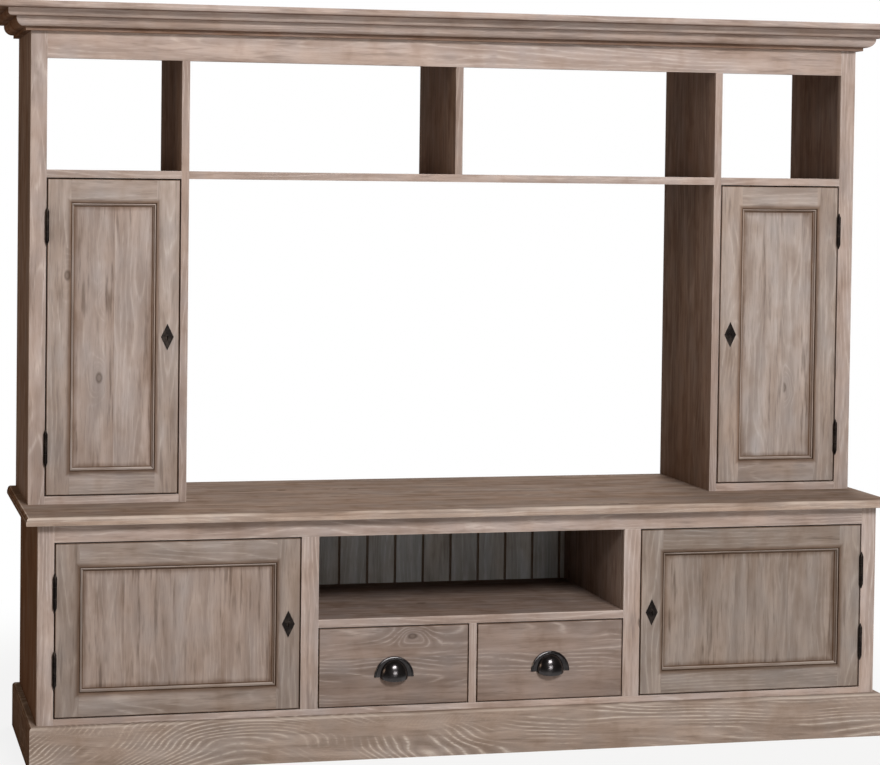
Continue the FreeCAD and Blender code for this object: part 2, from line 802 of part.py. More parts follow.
def leaf_with_knuckles(leaf_x, x, y, z, front, stretches):
    half = d.hinge_long / 2
    pieces = [block(leaf_x, (front, front + d.leaf_deep), (z - half, z + half))]
    for low, high in stretches:
        pieces.append(rod(d.barrel_radius, "Z", (x, y, low), high - low))
        pieces.append(block(leaf_x, (y, front), (low, high)))
    return pieces


def door_hinge_half(x, y, z, front, hinge_edge, side):
    """The door's leaf with the middle knuckle, bored for the pin."""
    half = d.hinge_long / 2 - d.end_knuckle - d.knuckle_play
    leaf_x = span(side, hinge_edge - d.leaf_thick * 2 - d.leaf_play, hinge_edge - d.leaf_thick - d.leaf_play)
    pieces = leaf_with_knuckles(leaf_x, x, y, z, front, [(z - half, z + half)])
    return cut(fuse(pieces), [rod(d.pin_radius + d.pin_play, "Z", (x, y, z - half), half * 2)])


def frame_hinge_half(x, y, z, front, hinge_edge, side):
    """The frame's leaf with the end knuckles, the pin riveted in them and its two turned finials."""
    half = d.hinge_long / 2
    leaf_x = span(side, hinge_edge - d.leaf_thick, hinge_edge)
    ends = [(z - half, z - half + d.end_knuckle), (z + half - d.end_knuckle, z + half)]
    pieces = leaf_with_knuckles(leaf_x, x, y, z, front, ends)
    pieces.append(rod(d.pin_radius, "Z", (x, y, z - half), half * 2))
    pieces.append(rod(d.barrel_radius, "Z", (x, y, z + half), d.finial_collar))
    pieces.append(rod(d.barrel_radius, "Z", (x, y, z - half - d.finial_collar), d.finial_collar))
    steeple = z + half + d.finial_collar
    pieces.append(cone(d.barrel_radius, d.finial_tip, (x, y, steeple), d.finial_steeple))
    steeple = z - half - d.finial_collar - d.finial_steeple
    pieces.append(cone(d.finial_tip, d.barrel_radius, (x, y, steeple), d.finial_steeple))
    return fuse(pieces)


def build_doors():
    frame_halves = []
    for word, side in SIDES.items():
        frame_halves += build_door(f"base_door_{word}", side, inner_stile_edge, outer_stile_edge,
                                   opening_floor, opening_top, base_front)
        frame_halves += build_door(f"tower_door_{word}", side, upright_outer, hutch_stile_edge,
                                   tower_floor, shelf_low, hutch_front)
    node("frame_hinge_leaves", frame_halves)


# ---------------------------------------------------------------- drawers

def tail_outline(front_end, rear_end, low, high):
    """A drawer side's face seen from the side, with dovetails at its front end."""
    tip = front_end - d.tail_long
    corners = [(rear_end, low), (rear_end, high), (front_end, high)]
    count = int(SIZES["tail_count"])
    pitch = (high - low) / count
    for index in reversed(range(count)):
        centre = low + pitch * (index + 0.5)
        corners += [(front_end, centre + d.tail_root / 2), (tip, centre + d.tail_tip / 2),
                    (tip, centre - d.tail_tip / 2), (front_end, centre - d.tail_root / 2)]
    corners.append((front_end, low))
    return corners


def build_drawer(word, side):
    near = d.divider_stile / 2 + d.drawer_gap
    far = bay_half - d.drawer_gap
    x_low, x_high = span(side, near, far)
    front_z = (opening_floor + d.drawer_gap, drawer_top - d.drawer_gap)
    box_low = opening_floor + d.runner_high + d.runner_play
    box_high = drawer_top - d.drawer_top_gap
    rear = lining_front - d.drawer_back_gap
    side_thick = d.drawer_side
    panel_low = box_low + d.bottom_lift
    panel_high = panel_low + d.drawer_bottom
    play = d.bottom_play

    outline = tail_outline(base_frame_back, rear, box_low, box_high)
    groove_z = (panel_low - play, panel_high + play)
    walls = []
    for low in (x_low, x_high - side_thick):
        walls.append(prism("YZ_Plane", outline, low, side_thick))
    grooves = block((x_low + side_thick - d.bottom_groove, x_high - side_thick + d.bottom_groove),
                    (base_frame_back - d.bottom_groove, rear), groove_z)
    sides = [cut(wall, [grooves]) for wall in walls]
    face = block((x_low, x_high), (base_front, base_frame_back), front_z)
    node(f"drawer_front_{word}", [cut(face, walls + [grooves])])
    back_board = block((x_low + side_thick, x_high - side_thick), (rear - side_thick, rear), (panel_high + play, box_high))
    edge = d.bottom_groove - play
    bottom = block((x_low + side_thick - edge, x_high - side_thick + edge), (base_frame_back - edge, rear),
                   (panel_low, panel_high))
    node(f"drawer_box_{word}", sides + [back_board, bottom])
    build_cup_pull(word, (x_low + x_high) / 2, (front_z[0] + front_z[1]) / 2 - d.pull_drop)
    return near, far, box_high


def cup_curve(half, out, front, bands):
    """A quarter ellipse in flat bands, from the plate to the cup's middle."""
    turns = [math.pi / 2 * step / bands for step in range(bands)]
    curve = [(half * math.cos(turn), front - out * math.sin(turn)) for turn in turns]
    return curve + [(as_size(0), front - out)]


def build_cup_pull(word, x, z):
    """A half-round plate with a hollow cup, open downwards for the fingers."""
    front = base_front
    wide = d.pull_radius * 2
    outside = cup_curve(d.cup_half, d.cup_out, front, 4)
    inside = cup_curve(d.cup_half - d.cup_wall, d.cup_out - d.cup_wall, front, 2)
    plate = rod(d.pull_radius, "Y", (x, front - d.pull_plate, z), d.pull_plate)
    plate = common(plate, block((x - wide, x + wide), (front - wide, front), (z, z + wide)))
    slope = [(front, z), (front - d.cup_out * 2, z - d.cup_lip * 2), (front - d.cup_out * 2, z - wide), (front, z - wide)]
    cup = cut(turned(outside + [(as_size(0), front)], x, z), [prism("YZ_Plane", slope, x - wide, wide * 2)])
    hollow = turned(inside + [(as_size(0), front)], x, z)
    node(f"cup_pull_{word}", [cut(fuse([plate, cup]), [hollow])])


def build_drawers():
    runners = []
    for word, side in SIDES.items():
        near, far, box_high = build_drawer(word, side)
        for low in (near, far - d.runner_wide):
            x = span(side, low, low + d.runner_wide)
            y = (base_frame_back + d.runner_play, lining_front)
            runners.append(block(x, y, (opening_floor, opening_floor + d.runner_high)))
            runners.append(block(x, y, (box_high + d.kicker_play, drawer_top)))
    node("drawer_runners", runners)


# ---------------------------------------------------------------- build, check and write

def check_all():
    for thing in doc.Objects:
        if "Invalid" in thing.State or "Error" in thing.State:
            raise RuntimeError(f"{thing.Label} did not rebuild: {thing.State}")
    for name, piece in NODES.items():
        shape = piece.Shape
        if shape.isNull() or not shape.isValid() or not shape.Solids:
            raise RuntimeError(f"{name} has no valid solid")
        wanted = len(piece.Links) if piece.TypeId == "Part::Compound" else 1
        if len(shape.Solids) != wanted:
            raise RuntimeError(f"{name} has {len(shape.Solids)} solids, not {wanted}")


build_base()
build_cupboard_insides()
build_worktop()
build_hutch()
build_doors()
build_drawers()
doc.recompute()
check_all()

os.makedirs("parts", exist_ok=True)
for name, piece in NODES.items():
    piece.Shape.exportStep(f"parts/{name}.step")
print(f"{len(NODES)} nodes, {sum(len(p.Shape.Solids) for p in NODES.values())} solids")
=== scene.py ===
# %% [markdown]
# # A television wall cabinet in greyed pine
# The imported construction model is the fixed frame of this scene. Every board
# is already the right size and in the right place, so this lesson only dresses
# it: soft arrises, run mouldings, turned pulls, pine, iron, light and a camera.

# %% Load the frame
import json
import math
import random

import bmesh
import bpy
from mathutils import Matrix, Vector


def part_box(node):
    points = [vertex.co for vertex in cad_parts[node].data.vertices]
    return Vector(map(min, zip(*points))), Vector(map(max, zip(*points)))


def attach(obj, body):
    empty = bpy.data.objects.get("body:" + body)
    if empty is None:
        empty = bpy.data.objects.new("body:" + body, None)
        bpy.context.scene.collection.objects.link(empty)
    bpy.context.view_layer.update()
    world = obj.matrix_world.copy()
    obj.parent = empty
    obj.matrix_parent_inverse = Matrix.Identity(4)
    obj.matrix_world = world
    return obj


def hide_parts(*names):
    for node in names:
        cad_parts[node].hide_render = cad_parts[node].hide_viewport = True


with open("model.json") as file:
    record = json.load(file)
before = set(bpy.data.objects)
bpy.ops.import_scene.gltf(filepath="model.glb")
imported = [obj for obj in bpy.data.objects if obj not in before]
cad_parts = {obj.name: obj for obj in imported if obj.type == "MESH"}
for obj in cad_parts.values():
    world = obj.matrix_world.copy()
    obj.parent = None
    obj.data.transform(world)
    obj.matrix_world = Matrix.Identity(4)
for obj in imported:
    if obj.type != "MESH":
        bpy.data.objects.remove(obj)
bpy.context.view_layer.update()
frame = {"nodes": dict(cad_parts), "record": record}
scene = bpy.context.scene
body_of = {node: body for body, nodes in frame["record"]["behaviour"]["bodies"].items() for node in nodes}

# %% [markdown]
# ## Camera
# A long lens far away keeps the uprights nearly parallel. The camera stands a
# little to the left and is tipped down by less than two degrees, so upright
# edges stay upright. The shift slides the picture to frame the whole cabinet,
# which a stronger tilt would also do, but with leaning edges.

# %% Camera
EYE = Vector((-1.5377, -5.4908, 1.3855))
YAW = 0.22017
TILT = math.radians(1.75)
ROLL = -0.01149
FOCAL_PIXELS = 2266.1
PICTURE_WIDTH = 880.0
SENSOR = 36.0
SHIFT = (0.1247, -0.1528)

camera = bpy.data.objects.new("camera", bpy.data.cameras.new("camera"))
scene.collection.objects.link(camera)
level_right = Vector((math.cos(YAW), -math.sin(YAW), 0))
look = Vector((math.sin(YAW) * math.cos(TILT), math.cos(YAW) * math.cos(TILT), -math.sin(TILT)))
overhead = level_right.cross(look)
right = level_right * math.cos(ROLL) - overhead * math.sin(ROLL)
up = level_right * math.sin(ROLL) + overhead * math.cos(ROLL)
turn = Matrix((right, up, -look)).transposed().to_4x4()
camera.matrix_world = Matrix.Translation(EYE) @ turn
camera.data.sensor_fit = "HORIZONTAL"
camera.data.sensor_width = SENSOR
camera.data.lens = FOCAL_PIXELS * SENSOR / PICTURE_WIDTH
camera.data.shift_x, camera.data.shift_y = SHIFT
camera.data.clip_end = 100
scene.camera = camera
scene.view_settings.view_transform = "Standard"
print("lens", round(camera.data.lens, 2), "mm")

# %% [markdown]
# ## Shader sums in Python
# A finish is a small calculation: how far is this point from a knot, is it in
# a dark ring. Node graphs say that in many boxes, so one small class lets the
# sum be written as Python and adds the Math nodes itself.

# %% Sockets that can be added and multiplied
class Amount:
    """One number that varies over a surface."""

    def __init__(self, finish, socket):
        self.finish = finish
        self.socket = socket

    def math(self, operation, *others):
        return self.finish.add("ShaderNodeMath", {"operation": operation}, [self, *others])

    def __add__(self, other):
        return self.math("ADD", other)

    def __mul__(self, other):
        return self.math("MULTIPLY", other)

    def __sub__(self, other):
        return self.math("SUBTRACT", other)

    def __rsub__(self, other):
        return self.finish.add("ShaderNodeMath", {"operation": "SUBTRACT"}, [other, self])

    __radd__ = __add__
    __rmul__ = __mul__

    def sibling(self, output):
        """Another output of the node that this number comes from."""
        return Amount(self.finish, self.socket.node.outputs[output])

    def clamp(self, low, high):
        """0 at low and below, 1 at high and above, smooth between."""
        settings = {"interpolation_type": "SMOOTHSTEP"}
        inputs = {"Value": self, "From Min": low, "From Max": high}
        return self.finish.add("ShaderNodeMapRange", settings, inputs)


class Graph:
    """A node tree that is added to from Python."""

    def __init__(self, tree):
        self.tree = tree

    def add(self, kind, settings, inputs, output=0):
        """Adds any node: its type, its settings, then the values or links of its sockets."""
        node = self.tree.nodes.new(kind)
        for name, value in settings.items():
            setattr(node, name, value)
        pairs = inputs.items() if isinstance(inputs, dict) else enumerate(inputs)
        for key, value in pairs:
            if isinstance(value, Amount):
                self.tree.links.new(value.socket, node.inputs[key])
            else:
                node.inputs[key].default_value = value
        return Amount(self, node.outputs[output])

    def stretch(self, place, scale):
        return self.add("ShaderNodeVectorMath", {"operation": "MULTIPLY"}, [place, scale])

    def noise(self, place, scale, detail=3.0, roughness=0.55):
        """Soft random patches; scale says how many there are in a metre along each axis."""
        stretched = self.stretch(place, scale)
        inputs = {"Vector": stretched, "Scale": 1.0, "Detail": detail, "Roughness": roughness}
        return self.add("ShaderNodeTexNoise", {}, inputs)

    def stored(self, attribute, output="Fac"):
        """What the piece itself stores under a name."""
        return self.add("ShaderNodeAttribute", {"attribute_name": attribute}, {}, output)

    def split(self, vector):
        """The three parts of a vector or a colour."""
        parts = self.add("ShaderNodeSeparateXYZ", {}, [vector])
        return [parts, parts.sibling(1), parts.sibling(2)]

    def mix(self, share, first, second):
        """A colour between two colours."""
        return self.add("ShaderNodeMix", {"data_type": "RGBA"}, {0: share, 6: first, 7: second}, 2)

    def tinted(self, share, tone, tint):
        """A colour under a thin coat of another."""
        settings = {"data_type": "RGBA", "blend_type": "MULTIPLY"}
        return self.add("ShaderNodeMix", settings, {0: share, 6: tone, 7: tint}, 2)


class Finish(Graph):
    """A procedural material being put together."""

    def __init__(self, name):
        self.material = bpy.data.materials.new(name)
        self.material.use_nodes = True
        super().__init__(self.material.node_tree)
        self.shader = self.tree.nodes["Principled BSDF"]
        self.place = self.add("ShaderNodeTexCoord", {}, {}, "Object")

    def paint(self, **sockets):
        """Sets or links sockets of the surface shader by name."""
        for name, value in sockets.items():
            socket = self.shader.inputs[name.replace("_", " ")]
            if isinstance(value, Amount):
                self.tree.links.new(value.socket, socket)
            else:
                socket.default_value = value

    def bump(self, height, distance, strength=1.0):
        inputs = {"Strength": strength, "Distance": distance, "Height": height}
        self.paint(Normal=self.add("ShaderNodeBump", {}, inputs))


print("shader helpers ready")

# %% [markdown]
# ## Pine
# Pine is drawn by its yearly rings: soft spring wood, then a hard line. Here
# pale lime lies over a grey-brown body and follows the rings. A flat-sawn
# board cuts them at a low angle, which gives the tall arches. So the finish
# is solid: it measures each point's distance from the heart of the log. Each
# board stores its own place in the log in an attribute called grain: along
# the board, across it and into it. Then rails run sideways and stiles run
# upright with one and the same finish, and wide panels are glued from staves
# with a different log each.

# %% Tones
STAVE = 0.115
RING = 0.0085


def rgb(red, green, blue):
    return (red, green, blue, 1.0)


# The tones are, in order: lime, pale body, body, dark strokes, knots.
LIMED = [(0.62, 0.525, 0.455), (0.435, 0.348, 0.297), (0.305, 0.233, 0.192),
         (0.120, 0.085, 0.066), (0.075, 0.048, 0.033)]
FRESH = [(0.66, 0.53, 0.37), (0.60, 0.46, 0.31), (0.52, 0.38, 0.245),
         (0.34, 0.21, 0.12), (0.14, 0.07, 0.04)]
# The brown that tints glaze in joints and painted shade on sides, under mouldings and in recesses.
GLAZE_AND_SHADE = rgb(0.38, 0.27, 0.195)
print("a stave is", STAVE * 1000, "mm wide and a ring", RING * 1000, "mm")

# %% [markdown]
# A log is not a perfect cylinder. Its heart wanders a little, knots push the
# rings aside, and a crooked log leaves the board fast in places: there the
# rings stand close and look like scallops.

# %% Knots and rings
def knots_in(finish, log, across):
    """The distance to the nearest knot, whether that one shows, and how it swells the rings."""
    inputs = {"Vector": finish.stretch(log, (5.5, 9.0, 0.0)), "Scale": 1.0, "Randomness": 0.7}
    near_knot = finish.add("ShaderNodeTexVoronoi", {"voronoi_dimensions": "2D"}, inputs)
    from_joint = ((across * (1 / STAVE)).math("FRACT") - 0.5).math("ABSOLUTE").clamp(0.36, 0.30)
    chance = finish.split(near_knot.sibling("Color"))[0].clamp(0.925, 0.935) * from_joint
    pulled = near_knot + (finish.noise(log, (14.0, 22.0, 22.0), 1.0) - 0.5) * 0.22
    swell = (pulled * pulled * -20.0).math("EXPONENT") * chance
    return near_knot, chance, swell


def rings_in(finish, log, from_heart, into, pitch, sway, drift):
    """The yearly rings, 0 to 1, round a heart that wanders away from the board."""
    wander = finish.noise(log, (1.3, 7.0, 7.0), 2.0) - 0.5
    ripple = finish.noise(log, (9.0, 34.0, 34.0), 3.0) - 0.5
    from_heart = from_heart + wander * 0.04 + ripple * 0.010
    into = into + wander * (0.15 * sway)
    if drift:
        into = into + (finish.noise(log, (0.8, 0.0, 0.0), 0.0) - 0.5) * drift
    radius = (from_heart * from_heart + into * into).math("SQRT")
    return (radius * (2 * math.pi / pitch)).math("SINE") * 0.5 + 0.5


def glaze_and_shade_by_bead(finish, smudge, strokes, margin, around):
    """Darkening beside a bead, from the depths that mark_inset stores: on a panel, glazing with painted shade
    under the bead; on a frame, painted shade round its opening.
    """
    left, right, bottom = finish.split(finish.stored("inset", "Vector"))
    top = finish.stored("inset_top")
    nearest = left.math("MINIMUM", right).math("MINIMUM", bottom).math("MINIMUM", top)
    if around is None:
        return (nearest - margin - smudge * 0.012 - strokes * 0.010).clamp(0.002, -0.012) * 0.55
    return (nearest - smudge * 0.009 + 0.005).clamp(-around, 0.0) * 0.8


print("knots and rings ready")

# %% The pine finish
def pine(name, tint=(1.0, 1.0, 1.0), figure=0.5, streaks=0.6, sheen=0.53, margin=None, around=None,
         pitch=RING, sway=1.0, drift=0.0, tones=LIMED):
    """Lime in the open grain over a body colour, dark strokes, knots, and brown glazing and painted shade in
    the corners.

    figure and streaks say how strong the rings and the dark strokes are. margin is how far a
    panel's own edges lie under its beads: glazing and painted shade gather from there. around is
    how far painted shade spreads over the frame outside them. pitch is the rings' distance, sway
    is how far they wander, and drift is how far a crooked log leaves the board.
    """
    finish = Finish(name)
    lime, pale, body, dark, knot = [rgb(*(part * share for part, share in zip(tone, tint))) for tone in tones]
    along, across, depth = finish.split(finish.stored("grain", "Vector"))
    stave = (across * (1 / STAVE)).math("FLOOR")
    log_color = finish.add("ShaderNodeTexWhiteNoise", {"noise_dimensions": "1D"}, {"W": stave}, "Color")
    luck = finish.split(log_color)
    log = finish.add("ShaderNodeCombineXYZ", {}, [along + luck[0] * 7.0, across, depth + luck[1] * 3.0])

    near_knot, chance, swell = knots_in(finish, log, across)
    from_heart = across - (stave + 0.5) * STAVE + (luck[2] - 0.5) * 0.07
    into = depth + 0.022 + luck[1] * 0.03 + swell * 0.034
    ring = rings_in(finish, log, from_heart, into, pitch, sway, drift)
    line = ring.math("POWER", 7.0)
    hollow = (1.0 - ring).math("POWER", 3.0)

    fibre = finish.noise(log, (30.0, 520.0, 520.0), 2.0)
    smear = finish.noise(log, (4.5, 34.0, 34.0))
    strokes = finish.noise(log, (8.0, 95.0, 95.0), roughness=0.58)
    where = finish.noise(log, (3.0, 13.0, 13.0), 2.0)
    cloud = finish.noise(finish.place, (2.3, 2.3, 2.3), 2.0)
    smudge = finish.noise(finish.place, (15.0, 15.0, 10.0))

    tone = finish.mix(smear.clamp(0.28, 0.74), body, pale)
    shown = where.clamp(0.60, 0.44) * fibre.clamp(0.2, 0.62) * smudge.clamp(0.28, 0.5)
    tone = finish.mix(hollow * shown * (figure * 0.30), tone, dark)
    tone = finish.mix(line * shown * figure * (1.0 - swell * 0.6), tone, lime)
    tone = finish.mix(strokes.clamp(0.50, 0.72) * where.clamp(0.36, 0.60) * streaks, tone, dark)
    tone = finish.mix(fibre.clamp(0.50, 0.26) * 0.22, tone, dark)
    tone = finish.mix(smudge.clamp(0.50, 0.76) * 0.26, tone, dark)
    knotty = near_knot + (smudge - 0.5) * 0.03
    tone = finish.mix(knotty.clamp(0.090, 0.045) * chance * 0.6, tone, knot)
    tone = finish.mix(knotty.clamp(0.045, 0.02) * chance * 0.45, tone, body)

    shade = 0.80 + cloud * 0.26 + luck[0] * 0.12
    warmth = (smudge + where - 1.0) * 0.16
    shade_color = finish.add("ShaderNodeCombineXYZ", {}, [shade + warmth, shade, shade - warmth])
    tone = finish.tinted(1.0, tone, shade_color)
    # Lime on worn arrises, and a painted highlight on upward rounds.
    tone = finish.mix(finish.stored("pale_wear_and_highlight") * smear.clamp(0.35, 0.6) * 0.45, tone, lime)
    # Brown over the pine: glaze in the lining's joints, and painted shade on the sides, under nosings and
    # mouldings, in the quirks and round the beads.
    glaze_and_shade = finish.stored("glaze_and_shade") * (smudge * 0.5 + 0.75)
    if margin is not None or around is not None:
        glaze_and_shade = glaze_and_shade + glaze_and_shade_by_bead(finish, smudge, strokes, margin, around)
    tone = finish.tinted(glaze_and_shade.math("MINIMUM", 1.0), tone, GLAZE_AND_SHADE)
    finish.paint(Base_Color=tone, Roughness=fibre * 0.16 + sheen, Metallic=0.0, Specular_IOR_Level=0.0)
    finish.bump(fibre * 0.6 + line * 0.3 + smear * 0.3, 0.0005, 0.6)
    return finish.material


print("the pine finish is ready")

# %% [markdown]
# Each part of the cabinet has its own mix. Every door was rubbed by hand, so
# the four differ a little: the first tint is for the frame and its beads, the
# second for the panel.

# %% Mix the pines
DOOR_TINTS = {
    "base_door_left": ((0.745, 0.77, 0.79), (0.765, 0.77, 0.785)),
    "base_door_right": ((0.705, 0.735, 0.75), (0.65, 0.665, 0.67)),
    "tower_door_left": ((0.91, 0.955, 1.0), (0.895, 0.92, 0.96)),
    "tower_door_right": ((0.885, 0.915, 0.94), (0.885, 0.94, 0.995)),
}
limed = pine("limed_pine", (1.03, 1.04, 1.08), 0.42, 0.45)
cornice_pine = pine("cornice_pine", (1.12, 1.13, 1.18), 0.42, 0.45)
bead_pine, frame_pine, panel_pine = {}, {}, {}
for door, (frame_tint, panel_tint) in DOOR_TINTS.items():
    bead_pine[door] = pine(f"{door}_bead_pine", frame_tint, 0.35, 0.5)
    # Frames get painted shade round their openings; panels get glazing and painted shade beside their beads.
    frame_pine[door] = pine(f"{door}_frame_pine", frame_tint, 0.35, 0.5, around=0.012)
    panel_pine[door] = pine(f"{door}_panel_pine", panel_tint, 0.25, 0.65, margin=0.0185)
drawer_pine = pine("drawer_pine", (0.63, 0.62, 0.63), 0.75, 0.4)
plinth_pine = pine("plinth_pine", (0.76, 0.76, 0.75), 1.2, 0.4, pitch=0.012, drift=2.2)
top_pine = pine("worktop_pine", (0.98, 0.97, 0.95), 0.35, 0.55, sheen=0.48)
lining_pine = pine("lining_pine", (0.66, 0.80, 0.90), 0.3, 0.4)
plain_pine = pine("plain_pine", (1.0, 1.0, 1.0), 0.25, 0.2, tones=FRESH)
print("pine finishes:", [m.name for m in bpy.data.materials if m.name.endswith("pine")])

# %% [markdown]
# ## Iron and steel
# The pulls, hinges and keyhole plates are cast and browned: almost black, with lighter
# patches at random. The locks are plain steel.

# %% The metal finishes
def metal(name, deep, rubbed, roughness, pitting, coat=0.0):
    """Metal from deep to rubbed in patches, with fine pits."""
    finish = Finish(name)
    patches = finish.noise(finish.place, (60.0, 60.0, 60.0), 4.0)
    pits = finish.noise(finish.place, (900.0, 900.0, 900.0), 2.0)
    finish.paint(Base_Color=finish.mix(patches.clamp(0.42, 0.72), deep, rubbed), Metallic=0.85,
                 Roughness=roughness + patches * 0.18, Coat_Weight=coat, Coat_Roughness=0.12)
    finish.bump(pits, 0.0002, pitting)
    return finish.material


iron = metal("browned_iron", rgb(0.036, 0.032, 0.032), rgb(0.066, 0.060, 0.060), 0.12, 0.1, 0.25)
rough_iron = metal("forged_iron", rgb(0.010, 0.007, 0.006), rgb(0.036, 0.027, 0.022), 0.38, 0.7)
steel = metal("lock_steel", rgb(0.34, 0.33, 0.31), rgb(0.52, 0.51, 0.49), 0.32, 0.3)
print("metals:", iron.name, rough_iron.name, steel.name)

# %% [markdown]
# ## Boards with soft arrises
# No joiner leaves an edge knife-sharp: a stroke of sandpaper takes the arris
# off, and the light catches that thin band. The construction model's solids
# are exact but sharp, so each one is copied, merged, eased and given its own
# place in a log. Solids that touch stay separate, so every joint keeps its
# hairline.

# %% Find the separate boards in a node
def boards_in(node):
    """The closed solids of a node, each a list of triangles."""
    mesh = frame["nodes"][node].data
    places = [tuple(round(c, 6) for c in v.co) for v in mesh.vertices]
    boards = []
    current = []
    unpaired = set()
    for face in mesh.polygons:
        corners = [places[i] for i in face.vertices]
        if len(set(corners)) < 3:
            continue
        current.append(corners)
        for start, end in zip(corners, corners[1:] + corners[:1]):
            if (end, start) in unpaired:
                unpaired.remove((end, start))
            else:
                unpaired.add((start, end))
        if not unpaired:
            boards.append(current)
            current = []
    if current:
        boards.append(current)
    return boards


print("boards in the base's face frame:", len(boards_in("base_stiles")) + len(boards_in("base_rails")))

# %% Ease a board and lay its grain
X, Y, Z = range(3)
MM = 0.001
FLAT_ANGLE = 0.02
SHARP_ANGLE = 0.6
SHORTEST_ARRIS = 12 * MM
TOUCHING = 1e-5
MERGE = 1e-6
dice = random.Random(7)


def corners_of(points):
    """The low and the high corner of the box round some points."""
    low = Vector([min(p[i] for p in points) for i in range(3)])
    high = Vector([max(p[i] for p in points) for i in range(3)])
    return low, high


def log_place(low, high, along=None):
    """A function from a point to its place in this board's own log."""
    size = high - low
    order = sorted(range(3), key=lambda axis: -size[axis])
    if along is not None:
        order.remove(along)
        order.insert(0, along)
    shift = dice.uniform(0, 40)
    stave = dice.randrange(1, 400) * STAVE
    lean = dice.uniform(-0.03, 0.03)

    def place(point):
        run = point[order[0]] - low[order[0]]
        return Vector((run + shift, point[order[1]] - low[order[1]] + stave,
                       point[order[2]] - low[order[2]] + run * lean + 0.02))
    return place


def paint_layers(bm):
    """The three layers that the pine finish reads from each face corner."""
    grain = bm.loops.layers.float_vector.new("grain")
    # Pale wear on arrises and a painted highlight on upward rounds.
    pale_wear_and_highlight = bm.loops.layers.float.new("pale_wear_and_highlight")
    # Glaze in joints and painted shade.
    glaze_and_shade = bm.loops.layers.float.new("glaze_and_shade")
    return grain, pale_wear_and_highlight, glaze_and_shade


def on_rim(edge, rim):
    """True for an edge that lies in one of the four outer sides of a flush frame."""
    start, end = [v.co for v in edge.verts]
    return any(abs(start[i] - side[i]) < TOUCHING and abs(end[i] - side[i]) < TOUCHING
               for side in rim for i in (X, Z))


def eased(board, ease, along=None, stain_and_shade=None, pale_edges=True, rim=None):
    """One solid as a bmesh with rounded arrises and its grain layer, its layer of pale wear and highlight,
    and its layer of glazing and shade.

    When its edges are to be pale, eased arrises are rubbed pale by wear and upward rounds get a painted
    highlight; otherwise eased arrises are darkened with the painted shade of the gap beside them.
    rim is the box of a flush frame: only arrises on its four outer sides are eased.
    """
    bm = bmesh.new()
    corners = {}
    for triangle in board:
        for point in triangle:
            if point not in corners:
                corners[point] = bm.verts.new(point)
        face = [corners[point] for point in triangle]
        if bm.faces.get(face) is None:
            bm.faces.new(face)
    low, high = corners_of(corners)
    bmesh.ops.dissolve_limit(bm, angle_limit=FLAT_ANGLE, verts=bm.verts, edges=bm.edges)
    sharp = [e for e in bm.edges if len(e.link_faces) == 2 and e.calc_face_angle(0) > SHARP_ANGLE
             and e.is_convex and e.calc_length() > SHORTEST_ARRIS]
    if rim:
        sharp = [e for e in sharp if on_rim(e, rim)]
    rounded = set()
    if ease and sharp:
        width = min(ease, min(high - low) * 0.2)
        made = bmesh.ops.bevel(bm, geom=sharp, offset=width, segments=2, profile=0.5,
                               affect="EDGES", clamp_overlap=True)
        rounded = set(made["faces"])
    grain, pale_wear_and_highlight, glaze_and_shade = paint_layers(bm)
    place = log_place(low, high, along)
    for face in bm.faces:
        edge = face in rounded
        dark = stain_and_shade(face) if stain_and_shade and not edge else 0.0
        for loop in face.loops:
            loop[grain] = place(loop.vert.co)
            # Pale arrises are wear and pale upward rounds a painted highlight; dark arrises are painted shade
            # of the gap.
            loop[pale_wear_and_highlight] = 1.0 if pale_edges and (edge or highlighted_round(face)) else 0.0
            loop[glaze_and_shade] = 0.9 if edge and not pale_edges else dark
    return bm


print("a board's arrises are eased where they are longer than", SHORTEST_ARRIS * 1000, "mm")

# %% [markdown]
# Each rule here looks at one face and says how dark it is made, from 0 to 1.
# Glaze sits in the joints of the lining. Broad sides, uprights, the top's ends and
# the faces under its nosing get painted shade, and shelves are darker on their flats.
# Rounds that face upwards get a painted highlight instead.

# %% Stain and shade rules

def shaded_sides(share):
    """Painted shade on upright boards: their broad faces are darkened, their edges are not."""
    return lambda face: share if abs(face.normal.x) > 0.9 else 0.0


def shaded_uprights(face):
    """Painted shade on the uprights: more on their broad faces, a little on their other faces such as the
    narrow front edges.
    """
    return 0.45 if abs(face.normal.x) > 0.9 else 0.2


def darker_flats(face):
    """A shelf is darker on its flats than on its front edge."""
    return 0.5 if abs(face.normal.z) > 0.9 else 0.0


def stained_vees(face):
    """Glaze settles in the vee joints of the lining."""
    return 1.0 if 0.3 < abs(face.normal.x) < 0.95 or face.calc_area() < 1e-9 else 0.0


def top_with_shaded_ends(face):
    """The top's flat is a little darker; its ends and the faces under its nosing get painted shade."""
    if abs(face.normal.x) > 0.5 or face.normal.z < -0.35:
        return 0.9
    return 0.3 if face.normal.z > 0.95 else 0.0


def highlighted_round(face):
    """Painted highlight: rounds that face upwards are made pale with lime, as where light from above catches
    them.
    """
    return 0.25 < face.normal.z < 0.97


print("stain rules ready")

# %% Gather boards into pieces
def mark_inset(piece, box):
    """Stores how far each point lies inside the box's sides, bottom and top."""
    mesh = piece.data
    low, high = box
    mesh.attributes.new("inset", "FLOAT_VECTOR", "POINT")
    mesh.attributes.new("inset_top", "FLOAT", "POINT")
    sides, top = mesh.attributes["inset"].data, mesh.attributes["inset_top"].data
    for vertex, side, above in zip(mesh.vertices, sides, top):
        side.vector = (vertex.co.x - low.x, high.x - vertex.co.x, vertex.co.z - low.z)
        above.value = high.z - vertex.co.z


